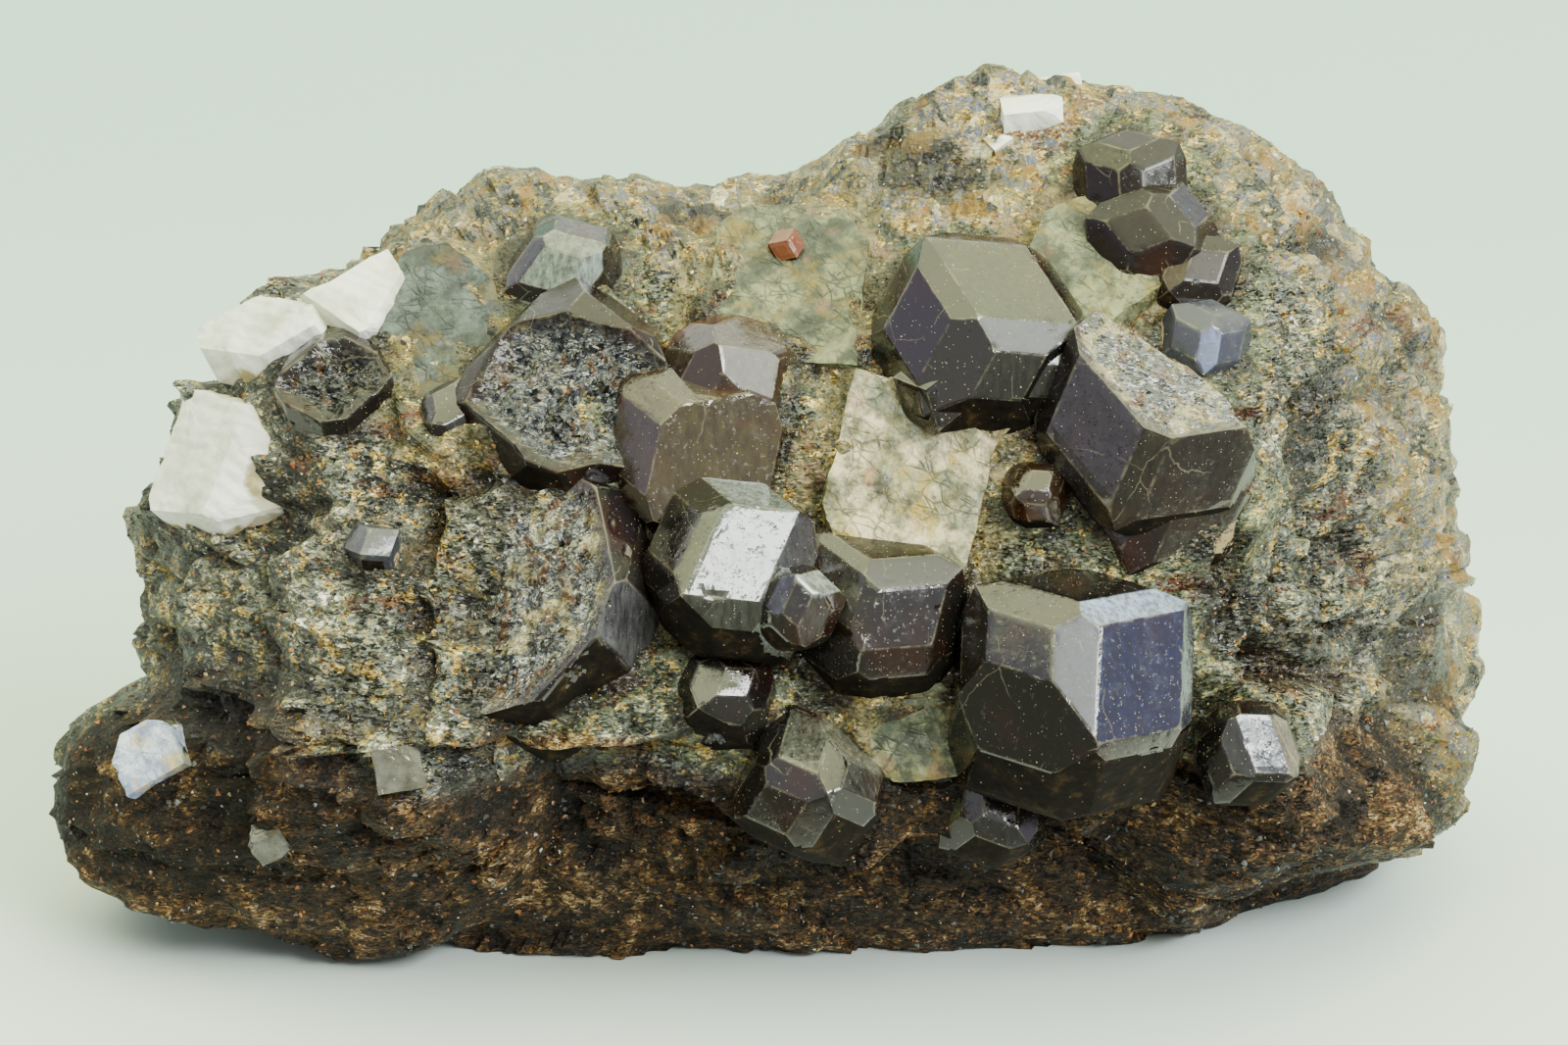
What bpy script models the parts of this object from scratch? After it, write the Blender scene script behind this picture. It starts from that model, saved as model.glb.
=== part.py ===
"""Garnet in matrix: a hand specimen of dark garnet crystals standing in brown granular rock.

Lengths in the tables are millimetres, turns are whole degrees. The front of the specimen
faces -Y, its long axis runs along X, and it rests on a flat face at Z = 0.
"""
import math

import bmesh
import bpy
import numpy as np
from mathutils import Euler, Vector

MM = 0.001
GAP = 0.3                      # clearance cut round a crystal in the rock that holds it
ORIGIN = (0.45, -2.6, 0.0)      # puts the middle of the bounding box over the origin
ROCK_CELLS = (24, 15, 13)      # cells of the rock surface along X, Y and Z

# ---------------------------------------------------------------- rock form
ROCK_HEART = (0.0, 0.0, 21.0)
# lumps of rock: middle, half sizes
LUMPS = {
    "core": ((3, 0, 24), (41, 21, 22)),
    "right_hump": ((19, 4, 35), (19.5, 13, 16.5)),
    "left_hump": ((-12, 5, 21), (18, 16, 25)),
    "left_mass": ((-24, -8, 17), (15, 15, 16)),
    "left_lobe": ((-33.8, -5, 8.3), (12, 11, 7.6)),
    "right_end": ((32, 7, 14), (13, 14, 21)),
    "right_foot": ((32, -4, 11), (13, 15, 12)),
    "right_peak": ((37, -1, 32), (8, 8, 8)),
    "belly": ((2, -2, 10), (41, 13, 14)),
}
# broken faces of the rock: outward direction, distance from the zero point, roundness
BREAKS = {
    "under_front": ((0.0, -0.80, -0.60), 9.4, 1.0),
    "lower_front": ((0.0, -0.88, 0.47), 27.5, 2.0),
    "upper_front": ((-0.05, -0.62, 0.78), 35.0, 2.5),
    "right_front": ((0.74, -0.62, 0.26), 38.5, 2.0),
    "left_front": ((-0.62, -0.70, 0.36), 37.5, 2.0),
    "right_under": ((0.30, -0.45, -0.84), 10.8, 1.5),
    "back_face": ((0.10, 0.92, 0.38), 28.0, 3.0),
    "back_under": ((0.0, 0.75, -0.66), 8.0, 2.0),
}
# rounds of rock knobs and hollows: wavelength, height, shift of the pattern
ROUGHNESS = ((13.0, 1.5, 3.1), (6.5, 0.9, 7.7), (3.4, 0.5, 1.9))
LEDGE_HEIGHT = 0.7
LEDGE_SPACING = 4.5
# pits and knobs: middle, radius, depth (knobs have a negative depth)
PITS = {
    "front_pit": ((6.0, -15.0, 8.5), 4.0, 1.4),
    "left_notch": ((-37.0, -9.0, 18.0), 4.5, 2.0),
    "right_hollow": ((40.0, -8.0, 22.0), 6.0, 1.6),
    "crest_saddle": ((-1.0, 2.0, 45.0), 6.0, 1.2),
    "back_hollow": ((8.0, 21.0, 24.0), 9.0, 2.2),
    "back_knob": ((-18.0, 18.0, 22.0), 7.0, -2.0),
    "right_knob": ((41.0, 3.0, 12.0), 4.5, -1.6),
    "lower_right_knob": ((38.5, -9.0, 10.0), 4.0, -1.6),
    "crest_knob": ((13.0, 4.0, 49.0), 4.5, -1.2),
    "left_knob": ((-28.0, 2.0, 36.0), 4.5, -1.3),
}

# ------------------------------------------------------------ crystal tables
# garnet: middle, turn, distance of the 12 rhomb faces, distance of the 24 kite faces,
# faces that stand off from the rule, broken faces (outward direction, distance)
GARNETS = {
    "front_right": ((18.7, -19.0, 20.7), (-1, -39, 4), 7.03, 7.34,
                    {(1, -1, 0): -0.4, (0, -1, 1): 0.4, (-1, -1, 2): 0.3, (-1, -2, 1): -0.6,
                     (1, -1, 2): 0.3, (1, -2, -1): 0.2}, ()),
    "front_small": ((29.3, -19.2, 16.9), (170, -52, -118), 3.02, 3.14,
                    {(1, -1, 0): -0.3, (2, -1, 1): -0.2, (1, -2, -1): -0.3, (2, -1, -1): 1.0}, ()),
    "upper": ((13.3, -8.0, 39.1), (-137, -64, -163), 6.19, 6.37,
              {(1, -1, 0): -0.6, (0, -1, 1): 0.3, (1, -2, -1): -0.1}, ()),
    "upper_step": ((16.5, -10.0, 38.4), (-134, -62, -166), 3.5, 3.55, {}, ()),
    "upper_low": ((11.7, -12.4, 39.2), (35, 20, 10), 2.2, 2.3, {}, ()),
    "right": ((23.9, -10.9, 35.3), (110, 31, -110), 6.8, 7.34, {},
              (((0.22, -0.56, 0.79), 5.3), ((0.53, 0.59, 0.61), 2.0), ((0.88, 0.30, 0.36), 3.4))),
    "right_low": ((24.4, -10.9, 31.2), (110, 31, -110), 5.7, 6.0, {}, (((0.75, -0.10, 0.65), 4.6),)),
    "right_chip": ((16.6, -14.3, 31.6), (40, 15, 60), 2.0, 2.05, {}, ()),
    "centre": ((-1.3, -17.5, 27.9), (-142, -5, -119), 5.08, 5.31,
               {(1, -1, 0): -0.4, (1, -2, -1): 1.7, (1, -2, 1): -0.4, (1, 0, 1): 0.4}, ()),
    "centre_corner": ((2.3, -21.0, 26.9), (64, 9, -172), 2.5, 2.58,
                      {(-1, 2, -1): 0.2, (-1, 1, -2): -0.2}, ()),
    "centre_black": ((7.3, -16.5, 24.6), (172, 36, 160), 5.15, 5.35,
                     {(-1, -2, -1): 0.3, (-1, -1, -2): 0.3, (1, -2, -1): -0.5}, ()),
    "centre_round": ((-2.0, -18.6, 20.4), (-138, -9, -112), 3.2, 3.2, {},
                     (((-0.2, -0.8, -0.55), 2.9),)),
    "brown": ((-1.7, -9.1, 36.3), (37, -8, 3), 4.56, 4.62,
              {(1, -1, 2): -0.1, (2, -1, 1): -0.2, (1, 1, 2): -0.3, (1, 0, 1): 0.3}, ()),
    "brown_low": ((-3.9, -12.5, 32.5), (30, -20, -8), 4.8, 4.9, {}, ()),
    "broken": ((-10.9, -9.3, 35.4), (66, 6, 14), 6.4, 6.5, {},
               (((0.02, -0.86, 0.50), 3.3), ((-0.30, -0.75, 0.60), 3.9), ((0.35, -0.82, 0.42), 4.0))),
    "low": ((3.3, -20.6, 15.3), (-45, -66, 149), 4.14, 4.26,
            {(1, -2, 1): -0.6, (2, -1, 1): 0.4, (0, -1, 1): -0.1}, ()),
    "ledge": ((14.4, -16.9, 12.3), (12, -28, 22), 3.3, 3.4, {}, ()),
    "pale": ((-11.5, -1.9, 41.0), (38, -4, -146), 3.62, 3.77, {(-1, 2, 1): 0.3}, ()),
    "left_small": ((-18.3, -10.2, 34.7), (73, 3, -25), 2.3, 2.37, {}, ()),
    "left_tiny": ((-22.9, -15.5, 28.4), (20, 30, 50), 1.8, 1.85, {}, ()),
    "left_lump": ((-25.4, -7.6, 35.5), (55, 20, 35), 3.7, 3.8, {},
                  (((-0.1, -0.80, 0.59), 2.0), ((0.2, -0.55, 0.81), 2.4))),
    "left_mass": ((-13.6, -14.4, 25.0), (68, -4, 27), 8.3, 8.5, {},
                  (((-0.10, -0.88, 0.46), 3.4), ((-0.45, -0.72, 0.53), 4.4), ((0.05, -0.62, 0.78), 5.2))),
    "top_right": ((22.7, 1.3, 46.4), (15, 40, 10), 3.0, 3.1, {}, ()),
    "top_right_mid": ((23.6, -2.6, 43.4), (-110, 30, 20), 3.4, 3.5, {}, ()),
    "top_right_low": ((26.2, -4.0, 41.6), (50, 10, 70), 2.7, 2.75, {}, ()),
    "blue": ((26.9, -7.6, 38.7), (20, 55, 15), 2.8, 2.85, {}, ()),
    "red": ((1.8, -3.5, 43.7), (10, 20, 30), 1.2, 1.25, {}, ()),
}
# crystals that grew into each other are one piece
GARNET_GROUPS = {
    "garnet_front_right": ("front_right",),
    "garnet_front_small": ("front_small",),
    "garnet_upper": ("upper", "upper_step", "upper_low"),
    "garnet_right": ("right", "right_low"),
    "garnet_right_small": ("right_chip",),
    "garnet_centre": ("centre", "centre_corner", "centre_black", "centre_round"),
    "garnet_brown": ("brown", "brown_low"),
    "garnet_broken": ("broken",),
    "garnet_low": ("low",),
    "garnet_ledge": ("ledge",),
    "garnet_pale": ("pale",),
    "garnet_left_small": ("left_small",),
    "garnet_left_tiny": ("left_tiny",),
    "garnet_left_lump": ("left_lump",),
    "garnet_left_mass": ("left_mass",),
    "garnet_top_right": ("top_right", "top_right_mid", "top_right_low"),
    "garnet_blue": ("blue",),
    "garnet_red": ("red",),
}
# broken blocks: middle, turn, half sizes, knocked-off corners (outward direction, distance)
BLOCKS = {
    "plate_centre": ((2.0, -4.1, 40.3), (39, 1, -6), (4.8, 5.8, 2.4),
                     (((0.8, 0.6, 0.0), 5.9), ((-0.7, 0.7, 0.0), 6.2), ((-0.8, -0.6, 0.1), 5.8))),
    "plate_face": ((9.0, -12.7, 31.6), (58, 13, -6), (4.8, 5.8, 2.8),
                   (((-0.8, -0.6, 0.0), 5.6), ((0.3, 0.9, 0.3), 5.4))),
    "plate_left": ((-18.6, -5.7, 36.9), (38, -12, 8), (3.9, 7.6, 2.2),
                   (((0.8, 0.5, 0.3), 5.8), ((-0.8, -0.5, 0.2), 5.6), ((-0.7, 0.7, 0.0), 6.2))),
    "plate_right": ((20.8, -3.5, 40.9), (37, 10, -18), (4.2, 4.6, 2.2),
                    (((-0.7, 0.7, 0.0), 4.9), ((0.8, -0.5, 0.2), 4.4))),
    "plate_low": ((9.4, -18.1, 18.1), (78, -4, 4), (3.6, 3.0, 2.0),
                  (((-0.6, -0.8, 0.0), 3.4), ((0.7, 0.6, 0.2), 3.7))),
    "calcite_left_low": ((-31.7, -5.8, 30.0), (43, -44, -17), (4.4, 4.8, 3.2),
                         (((0.5, -0.6, 0.6), 4.6), ((-0.6, -0.7, 0.3), 4.8), ((-0.6, 0.6, 0.5), 4.7),
                          ((0.7, 0.6, 0.4), 4.9))),
    "calcite_left_high": ((-29.2, -2.7, 36.4), (22, -31, -3), (3.8, 2.8, 2.8),
                          (((-0.6, -0.6, 0.5), 3.4), ((0.6, 0.6, 0.5), 3.6))),
    "calcite_left_ridge": ((-24.2, -3.4, 39.0), (30, -20, 24), (2.9, 2.0, 2.0),
                           (((0.5, -0.7, 0.5), 2.6), ((-0.9, -0.3, 0.2), 2.2))),
    "calcite_top": ((17.6, 5.2, 49.3), (16, -4, 8), (2.8, 2.0, 1.9), (((0.6, -0.5, 0.6), 2.2),)),
    "calcite_chip": ((14.8, 2.9, 48.2), (30, -25, 32), (0.8, 0.7, 1.0), (((0.5, 0.5, 0.7), 0.9),)),
    "feldspar_patch": ((-36.8, -12.3, 13.8), (54, -32, -3), (2.2, 1.9, 1.6),
                       (((0.7, 0.6, 0.2), 2.3), ((-0.7, 0.6, 0.3), 2.4))),
    "quartz_star": ((-21.2, -21.3, 17.8), (71, -19, 6), (1.4, 1.3, 1.2), (((0.6, 0.6, 0.5), 1.5),)),
    "quartz_bit": ((-29.1, -19.8, 11.5), (111, -26, -16), (1.2, 1.0, 1.0), (((0.5, -0.6, 0.6), 1.2),)),
}
BLOCK_GROUPS = {
    "plate_centre": ("plate_centre",),
    "plate_face": ("plate_face",),
    "plate_left": ("plate_left",),
    "plate_right": ("plate_right",),
    "plate_low": ("plate_low",),
    "calcite_left_low": ("calcite_left_low",),
    "calcite_left_high": ("calcite_left_high",),
    "calcite_left_ridge": ("calcite_left_ridge",),
    "calcite_top": ("calcite_top",),
    "calcite_chip": ("calcite_chip",),
    "feldspar_patch": ("feldspar_patch",),
    "quartz_star": ("quartz_star",),
    "quartz_bit": ("quartz_bit",),
}
# colour (linear), metallic, roughness of each kind of material
PAINTS = {
    "rock": ((0.115, 0.072, 0.042), 0.0, 0.85),
    "garnet": ((0.030, 0.016, 0.014), 0.0, 0.12),
    "broken_garnet": ((0.105, 0.095, 0.085), 0.0, 0.60),
    "red_garnet": ((0.180, 0.030, 0.010), 0.0, 0.20),
    "feldspar": ((0.200, 0.210, 0.150), 0.0, 0.55),
    "calcite": ((0.760, 0.760, 0.700), 0.0, 0.50),
    "pale_feldspar": ((0.480, 0.500, 0.560), 0.0, 0.35),
    "quartz": ((0.420, 0.430, 0.400), 0.0, 0.15),
}
BROKEN_PIECES = ("garnet_broken", "garnet_left_lump", "garnet_left_mass")


def paint(piece, kind):
    """Give a piece its own plain Principled material."""
    colour, metallic, roughness = PAINTS[kind]
    material = bpy.data.materials.new(piece.name + "_" + kind)
    material.use_nodes = True
    shader = material.node_tree.nodes["Principled BSDF"]
    shader.inputs["Base Color"].default_value = (*colour, 1.0)
    shader.inputs["Metallic"].default_value = metallic
    shader.inputs["Roughness"].default_value = roughness
    material.diffuse_color = (*colour, 1.0)
    piece.data.materials.append(material)


def new_piece(name, mesh):
    """Put a mesh in the scene as a named object."""
    piece = bpy.data.objects.new(name, mesh)
    bpy.context.scene.collection.objects.link(piece)
    return piece


def box_directions(cells):
    """Directions from the heart of the rock through a closed box grid, and its faces."""
    nx, ny, nz = cells
    index = {}
    points = []
    faces = []

    def corner(i, j, k):
        if (i, j, k) not in index:
            index[(i, j, k)] = len(points)
            points.append((2 * i / nx - 1, 2 * j / ny - 1, 2 * k / nz - 1))
        return index[(i, j, k)]

    for i in range(nx):
        for j in range(ny):
            faces.append((corner(i, j, 0), corner(i, j + 1, 0), corner(i + 1, j + 1, 0), corner(i + 1, j, 0)))
            faces.append((corner(i, j, nz), corner(i + 1, j, nz), corner(i + 1, j + 1, nz), corner(i, j + 1, nz)))
    for i in range(nx):
        for k in range(nz):
            faces.append((corner(i, 0, k), corner(i + 1, 0, k), corner(i + 1, 0, k + 1), corner(i, 0, k + 1)))
            faces.append((corner(i, ny, k), corner(i, ny, k + 1), corner(i + 1, ny, k + 1), corner(i + 1, ny, k)))
    for j in range(ny):
        for k in range(nz):
            faces.append((corner(0, j, k), corner(0, j, k + 1), corner(0, j + 1, k + 1), corner(0, j + 1, k)))
            faces.append((corner(nx, j, k), corner(nx, j + 1, k), corner(nx, j + 1, k + 1), corner(nx, j, k + 1)))
    spread = np.tan(np.array(points) * math.pi / 4) * (1.5, 1.0, 0.95)
    return spread / np.linalg.norm(spread, axis=1)[:, None], faces


def hash_noise(points, seed):
    """Smooth noise, -1 to 1, from hashed values at the corners of unit cells."""
    cell = np.floor(points).astype(np.int64)
    part = points - cell
    part = part * part * (3.0 - 2.0 * part)
    total = np.zeros(len(points))
    for dx in (0, 1):
        for dy in (0, 1):
            for dz in (0, 1):
                x, y, z = cell[:, 0] + dx, cell[:, 1] + dy, cell[:, 2] + dz
                value = (x * 73856093) ^ (y * 19349663) ^ (z * 83492791) ^ int(seed * 6151)
                value = (value * 2654435761) % 4294967296
                value = ((value ^ (value >> 15)) * 2246822519) % 4294967296
                value = (value ^ (value >> 13)) % 65536
                share = np.where(dx, part[:, 0], 1 - part[:, 0])
                share = share * np.where(dy, part[:, 1], 1 - part[:, 1])
                share = share * np.where(dz, part[:, 2], 1 - part[:, 2])
                total += share * (value / 32767.5 - 1.0)
    return total


def rock_radius(directions):
    """Distance from the rock's heart to its surface before the fine roughness."""
    heart = np.array(ROCK_HEART)
    reach = []
    for middle, half in LUMPS.values():
        offset = (heart - np.array(middle, float)) / np.array(half, float)
        scaled = directions / np.array(half, float)
        a = (scaled ** 2).sum(axis=1)
        b = scaled @ offset
        inside = b * b - a * (offset @ offset - 1.0)
        reach.append(np.maximum(np.where(inside > 0, (np.sqrt(np.maximum(inside, 0)) - b) / a, 0.0), 0.0))
    reach = np.array(reach)
    top = reach.max(axis=0)
    radius = top + 1.2 * np.log(np.exp((reach - top) / 1.2).sum(axis=0))
    for normal, distance, roundness in BREAKS.values():
        normal = np.array(normal) / np.linalg.norm(normal)
        slope = directions @ normal
        limit = np.where(slope > 0.001, (distance - normal @ heart) / np.maximum(slope, 0.001), 200.0)
        limit = np.minimum(limit, 200.0)
        mix = np.clip(0.5 + 0.5 * (limit - radius) / roundness, 0.0, 1.0)
        radius = limit * (1 - mix) + radius * mix - roundness * mix * (1 - mix)
    return radius


def rock_points(directions):
    """Rock surface in millimetres: lumps, broken faces, ledges, pits, knobs and roughness."""
    heart = np.array(ROCK_HEART)
    radius = rock_radius(directions)
    points = heart + directions * radius[:, None]
    for wavelength, height, shift in ROUGHNESS:
        radius = radius + height * hash_noise(points / wavelength + shift, shift)
    ledge = (points[:, 0] * 0.25 + points[:, 1] * 0.3 + points[:, 2]) / LEDGE_SPACING
    ledge = ledge + 0.8 * hash_noise(points / 9.0, 5.0)
    radius = radius + LEDGE_HEIGHT * (ledge - np.floor(ledge) - 0.5)
    for middle, size, depth in PITS.values():
        apart = np.linalg.norm(points - np.array(middle), axis=1) / size
        radius = radius - depth * np.clip(1.0 - apart ** 2, 0.0, 1.0)
    points = heart + directions * radius[:, None]
    points[:, 2] = np.maximum(points[:, 2], 0.0)
    return points


def make_rock():
    """The matrix as one closed lump with a flat resting face."""
    directions, faces = box_directions(ROCK_CELLS)
    points = (rock_points(directions) - np.array(ORIGIN)) * MM
    mesh = bpy.data.meshes.new("matrix")
    mesh.from_pydata([tuple(p) for p in points], [], faces)
    form = bmesh.new()
    form.from_mesh(mesh)
    flat = [face for face in form.faces if all(v.co.z < 1e-7 for v in face.verts)]
    bmesh.ops.dissolve_faces(form, faces=flat, use_verts=False)
    bmesh.ops.triangulate(form, faces=list(form.faces))
    bmesh.ops.recalc_face_normals(form, faces=list(form.faces))
    form.to_mesh(mesh)
    form.free()
    return new_piece("matrix", mesh)


def garnet_faces():
    """The 12 rhomb faces and the 24 kite faces of a garnet."""
    rhombs = set()
    kites = set()
    for a in (-1, 1):
        for b in (-1, 1):
            rhombs.update({(a, b, 0), (a, 0, b), (0, a, b)})
            for c in (-1, 1):
                kites.update({(2 * a, b, c), (a, 2 * b, c), (a, b, 2 * c)})
    return sorted(rhombs), sorted(kites)


def solid_from_planes(name, middle, planes, size):
    """Cut a block down by planes given as outward direction and distance from the middle."""
    form = bmesh.new()
    bmesh.ops.create_cube(form, size=4.0 * size * MM)
    for normal, distance in planes:
        normal = Vector(normal).normalized()
        geometry = list(form.verts) + list(form.edges) + list(form.faces)
        bmesh.ops.bisect_plane(form, geom=geometry, plane_co=normal * distance * MM, plane_no=normal,
                               clear_outer=True, dist=1e-9)
        rim = [edge for edge in form.edges if edge.is_boundary]
        if rim:
            bmesh.ops.contextual_create(form, geom=rim)
    bmesh.ops.remove_doubles(form, verts=list(form.verts), dist=0.00002)
    bmesh.ops.translate(form, verts=list(form.verts), vec=(Vector(middle) - Vector(ORIGIN)) * MM)
    bmesh.ops.recalc_face_normals(form, faces=list(form.faces))
    mesh = bpy.data.meshes.new(name)
    form.to_mesh(mesh)
    form.free()
    return new_piece(name, mesh)


def garnet(key, grow, name):
    """One garnet crystal, all faces moved outward by grow."""
    middle, turn, rhomb, kite, shifts, breaks = GARNETS[key]
    frame = Euler([math.radians(v) for v in turn], "XYZ").to_matrix()
    rhombs, kites = garnet_faces()
    planes = [(frame @ Vector(face), rhomb + shifts.get(face, 0.0) + grow) for face in rhombs]
    planes += [(frame @ Vector(face), kite + shifts.get(face, 0.0) + grow) for face in kites]
    planes += [(normal, distance + grow) for normal, distance in breaks]
    return solid_from_planes(name, middle, planes, max(rhomb, kite))


def block(key, grow, name):
    """One broken block, all faces moved outward by grow."""
    middle, turn, half, corners = BLOCKS[key]
    frame = Euler([math.radians(v) for v in turn], "XYZ").to_matrix()
    planes = []
    for axis in range(3):
        for side in (-1, 1):
            normal = Vector((0.0, 0.0, 0.0))
            normal[axis] = side
            planes.append((frame @ normal, half[axis] + grow))
    planes += [(frame @ Vector(normal), distance + grow) for normal, distance in corners]
    return solid_from_planes(name, middle, planes, max(half))


def boolean(piece, operation, other):
    """Join to or cut from a piece; the other body is kept out of sight."""
    other.hide_render = True
    other.display_type = "WIRE"
    step = piece.modifiers.new(operation.lower() + "_" + other.name, "BOOLEAN")
    step.operation = operation
    step.solver = "EXACT"
    step.object = other


def box_of(piece):
    """Bounds of a piece's own mesh."""
    points = np.array([tuple(v.co) for v in piece.data.vertices])
    return points.min(axis=0), points.max(axis=0)


def touching(first, second):
    """True when two bounding boxes meet."""
    low_a, high_a = first
    low_b, high_b = second
    return bool(np.all(low_a <= high_b) and np.all(low_b <= high_a))


for stale in list(bpy.data.objects):
    bpy.data.objects.remove(stale, do_unlink=True)

matrix = make_rock()
paint(matrix, "rock")

cutters = []
for maker, groups in ((garnet, GARNET_GROUPS), (block, BLOCK_GROUPS)):
    for node, keys in groups.items():
        piece = maker(keys[0], 0.0, node)
        own_bounds = [box_of(piece)]
        for key in keys[1:]:
            extra = maker(key, 0.0, "grown_" + key)
            own_bounds.append(box_of(extra))
            boolean(piece, "UNION", extra)
        for cutter, bounds in cutters:
            if any(touching(bounds, own) for own in own_bounds):
                boolean(piece, "DIFFERENCE", cutter)
        for key in keys:
            cutter = maker(key, GAP, "room_" + key)
            cutter.hide_render = True
            cutter.display_type = "WIRE"
            cutters.append((cutter, box_of(cutter)))
        if node in BROKEN_PIECES:
            kind = "broken_garnet"
        elif node == "garnet_red":
            kind = "red_garnet"
        elif node.startswith("garnet"):
            kind = "garnet"
        elif node.startswith("plate"):
            kind = "feldspar"
        elif node.startswith("calcite"):
            kind = "calcite"
        elif node.startswith("feldspar"):
            kind = "pale_feldspar"
        else:
            kind = "quartz"
        paint(piece, kind)

for cutter, bounds in cutters:
    boolean(matrix, "DIFFERENCE", cutter)
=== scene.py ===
import math

import bpy
import numpy as np
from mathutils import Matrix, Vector


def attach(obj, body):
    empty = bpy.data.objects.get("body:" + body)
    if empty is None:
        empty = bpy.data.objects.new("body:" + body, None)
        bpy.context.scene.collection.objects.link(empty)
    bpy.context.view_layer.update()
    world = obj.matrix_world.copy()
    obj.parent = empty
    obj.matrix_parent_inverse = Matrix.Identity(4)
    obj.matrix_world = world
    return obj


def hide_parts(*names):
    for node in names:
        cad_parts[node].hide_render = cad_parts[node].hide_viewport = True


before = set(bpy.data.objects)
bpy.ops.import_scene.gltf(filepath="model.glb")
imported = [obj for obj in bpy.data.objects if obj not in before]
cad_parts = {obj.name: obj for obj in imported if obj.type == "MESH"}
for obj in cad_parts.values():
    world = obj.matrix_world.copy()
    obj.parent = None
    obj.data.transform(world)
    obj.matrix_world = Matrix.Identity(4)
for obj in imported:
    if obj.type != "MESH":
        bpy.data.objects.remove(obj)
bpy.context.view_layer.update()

# ---------------------------------------------------------------- table, light and camera
# The specimen stands on a pale sheet of paper. One long soft light hangs high on the right of
# the viewer, the room behind it is dim, and a pale greenish ceiling closes the top.
MM = 0.001
SHIFT = np.array((0.45, -2.6, 0.0))        # from the crystal tables' zero point to the part's


def bare_piece(name, points, faces, smooth=False):
    """A mesh object at the origin from an array of points in metres and an array of faces."""
    mesh = bpy.data.meshes.new(name)
    mesh.from_pydata(points.tolist(), [], faces.tolist())
    mesh.polygons.foreach_set("use_smooth", [smooth] * len(mesh.polygons))
    mesh.update()
    piece = bpy.data.objects.new(name, mesh)
    bpy.context.scene.collection.objects.link(piece)
    return piece


def unit(way):
    """A direction of length one."""
    return np.array(way) / np.linalg.norm(way)


def grid_faces(rows, columns):
    """Quads of a grid of rows by columns points, numbered row by row."""
    i, j = np.meshgrid(np.arange(rows - 1), np.arange(columns - 1), indexing="ij")
    first = (i * columns + j).ravel()
    return np.stack([first, first + 1, first + columns + 1, first + columns], axis=1)


BENCH = {}                                  # the node tree that new shader nodes are added to


def feed(made, **inputs):
    """Give inputs of a node a value or another node's output; _ is a space, i3 the fourth input."""
    for key, value in inputs.items():
        socket = made.inputs[int(key[1:]) if key[1:].isdigit() else key.replace("_", " ")]
        if isinstance(value, bpy.types.NodeSocket):
            BENCH["tree"].links.new(value, socket)
        else:
            socket.default_value = value
    return made


def node(kind, settings=None, **inputs):
    """Add one shader node to the tree on the bench, with its settings and its inputs."""
    made = BENCH["tree"].nodes.new("ShaderNode" + kind)
    for key, value in (settings or {}).items():
        setattr(made, key, value)
    return feed(made, **inputs)


def ramp(factor, stops):
    """A colour ramp through (place, colour) stops."""
    made = node("ValToRGB", Fac=factor)
    while len(made.color_ramp.elements) < len(stops):
        made.color_ramp.elements.new(1.0)
    for element, (place, colour) in zip(made.color_ramp.elements, stops):
        element.position = place
        element.color = (*colour, 1.0)
    return made.outputs["Color"]


def grade(factor, low, high, start=0.0, end=1.0):
    """From start below low to end above high, straight between."""
    made = node("MapRange", Value=factor, From_Min=low, From_Max=high, To_Min=start, To_Max=end)
    return made.outputs["Result"]


def sums(operation, first, second=0.0):
    """One arithmetic step on two numbers."""
    return node("Math", {"operation": operation}, i0=first, i1=second).outputs[0]


def times(first, second):
    """Product of two numbers."""
    return sums("MULTIPLY", first, second)


def plus(first, *others):
    """Sum of numbers."""
    for other in others:
        first = sums("ADD", first, other)
    return first


def most(first, *others):
    """The largest of some numbers."""
    for other in others:
        first = sums("MAXIMUM", first, other)
    return first


def swung(value, noise, amount, centre=0.5):
    """A value plus an amount of a noise's swing about its centre."""
    return plus(value, times(sums("SUBTRACT", noise, centre), amount))


def blend(factor, first, second):
    """Mix of two colours, each an output or red, green and blue."""
    first, second = (c if isinstance(c, bpy.types.NodeSocket) else (*c, 1.0) for c in (first, second))
    return node("Mix", {"data_type": "RGBA"}, i0=factor, i6=first, i7=second).outputs[2]


def cover(tone, over, factor, low, high, share=1.0):
    """Lay a colour over another where a factor goes from low to high, up to a share."""
    amount = grade(factor, low, high)
    return blend(times(amount, share) if share < 1.0 else amount, tone, over)


def plain_material(name, roughness=0.5, ior=1.5):
    """Put a new material on the bench; the constants are set on its shader's own sockets."""
    material = bpy.data.materials.new(name)
    material.use_nodes = True
    BENCH["tree"] = material.node_tree
    shader = material.node_tree.nodes["Principled BSDF"]
    shader.inputs["Roughness"].default_value = roughness
    shader.inputs["IOR"].default_value = ior
    return material, shader


def where():
    """Object coordinates, in metres."""
    return node("TexCoord").outputs["Object"]


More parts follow.
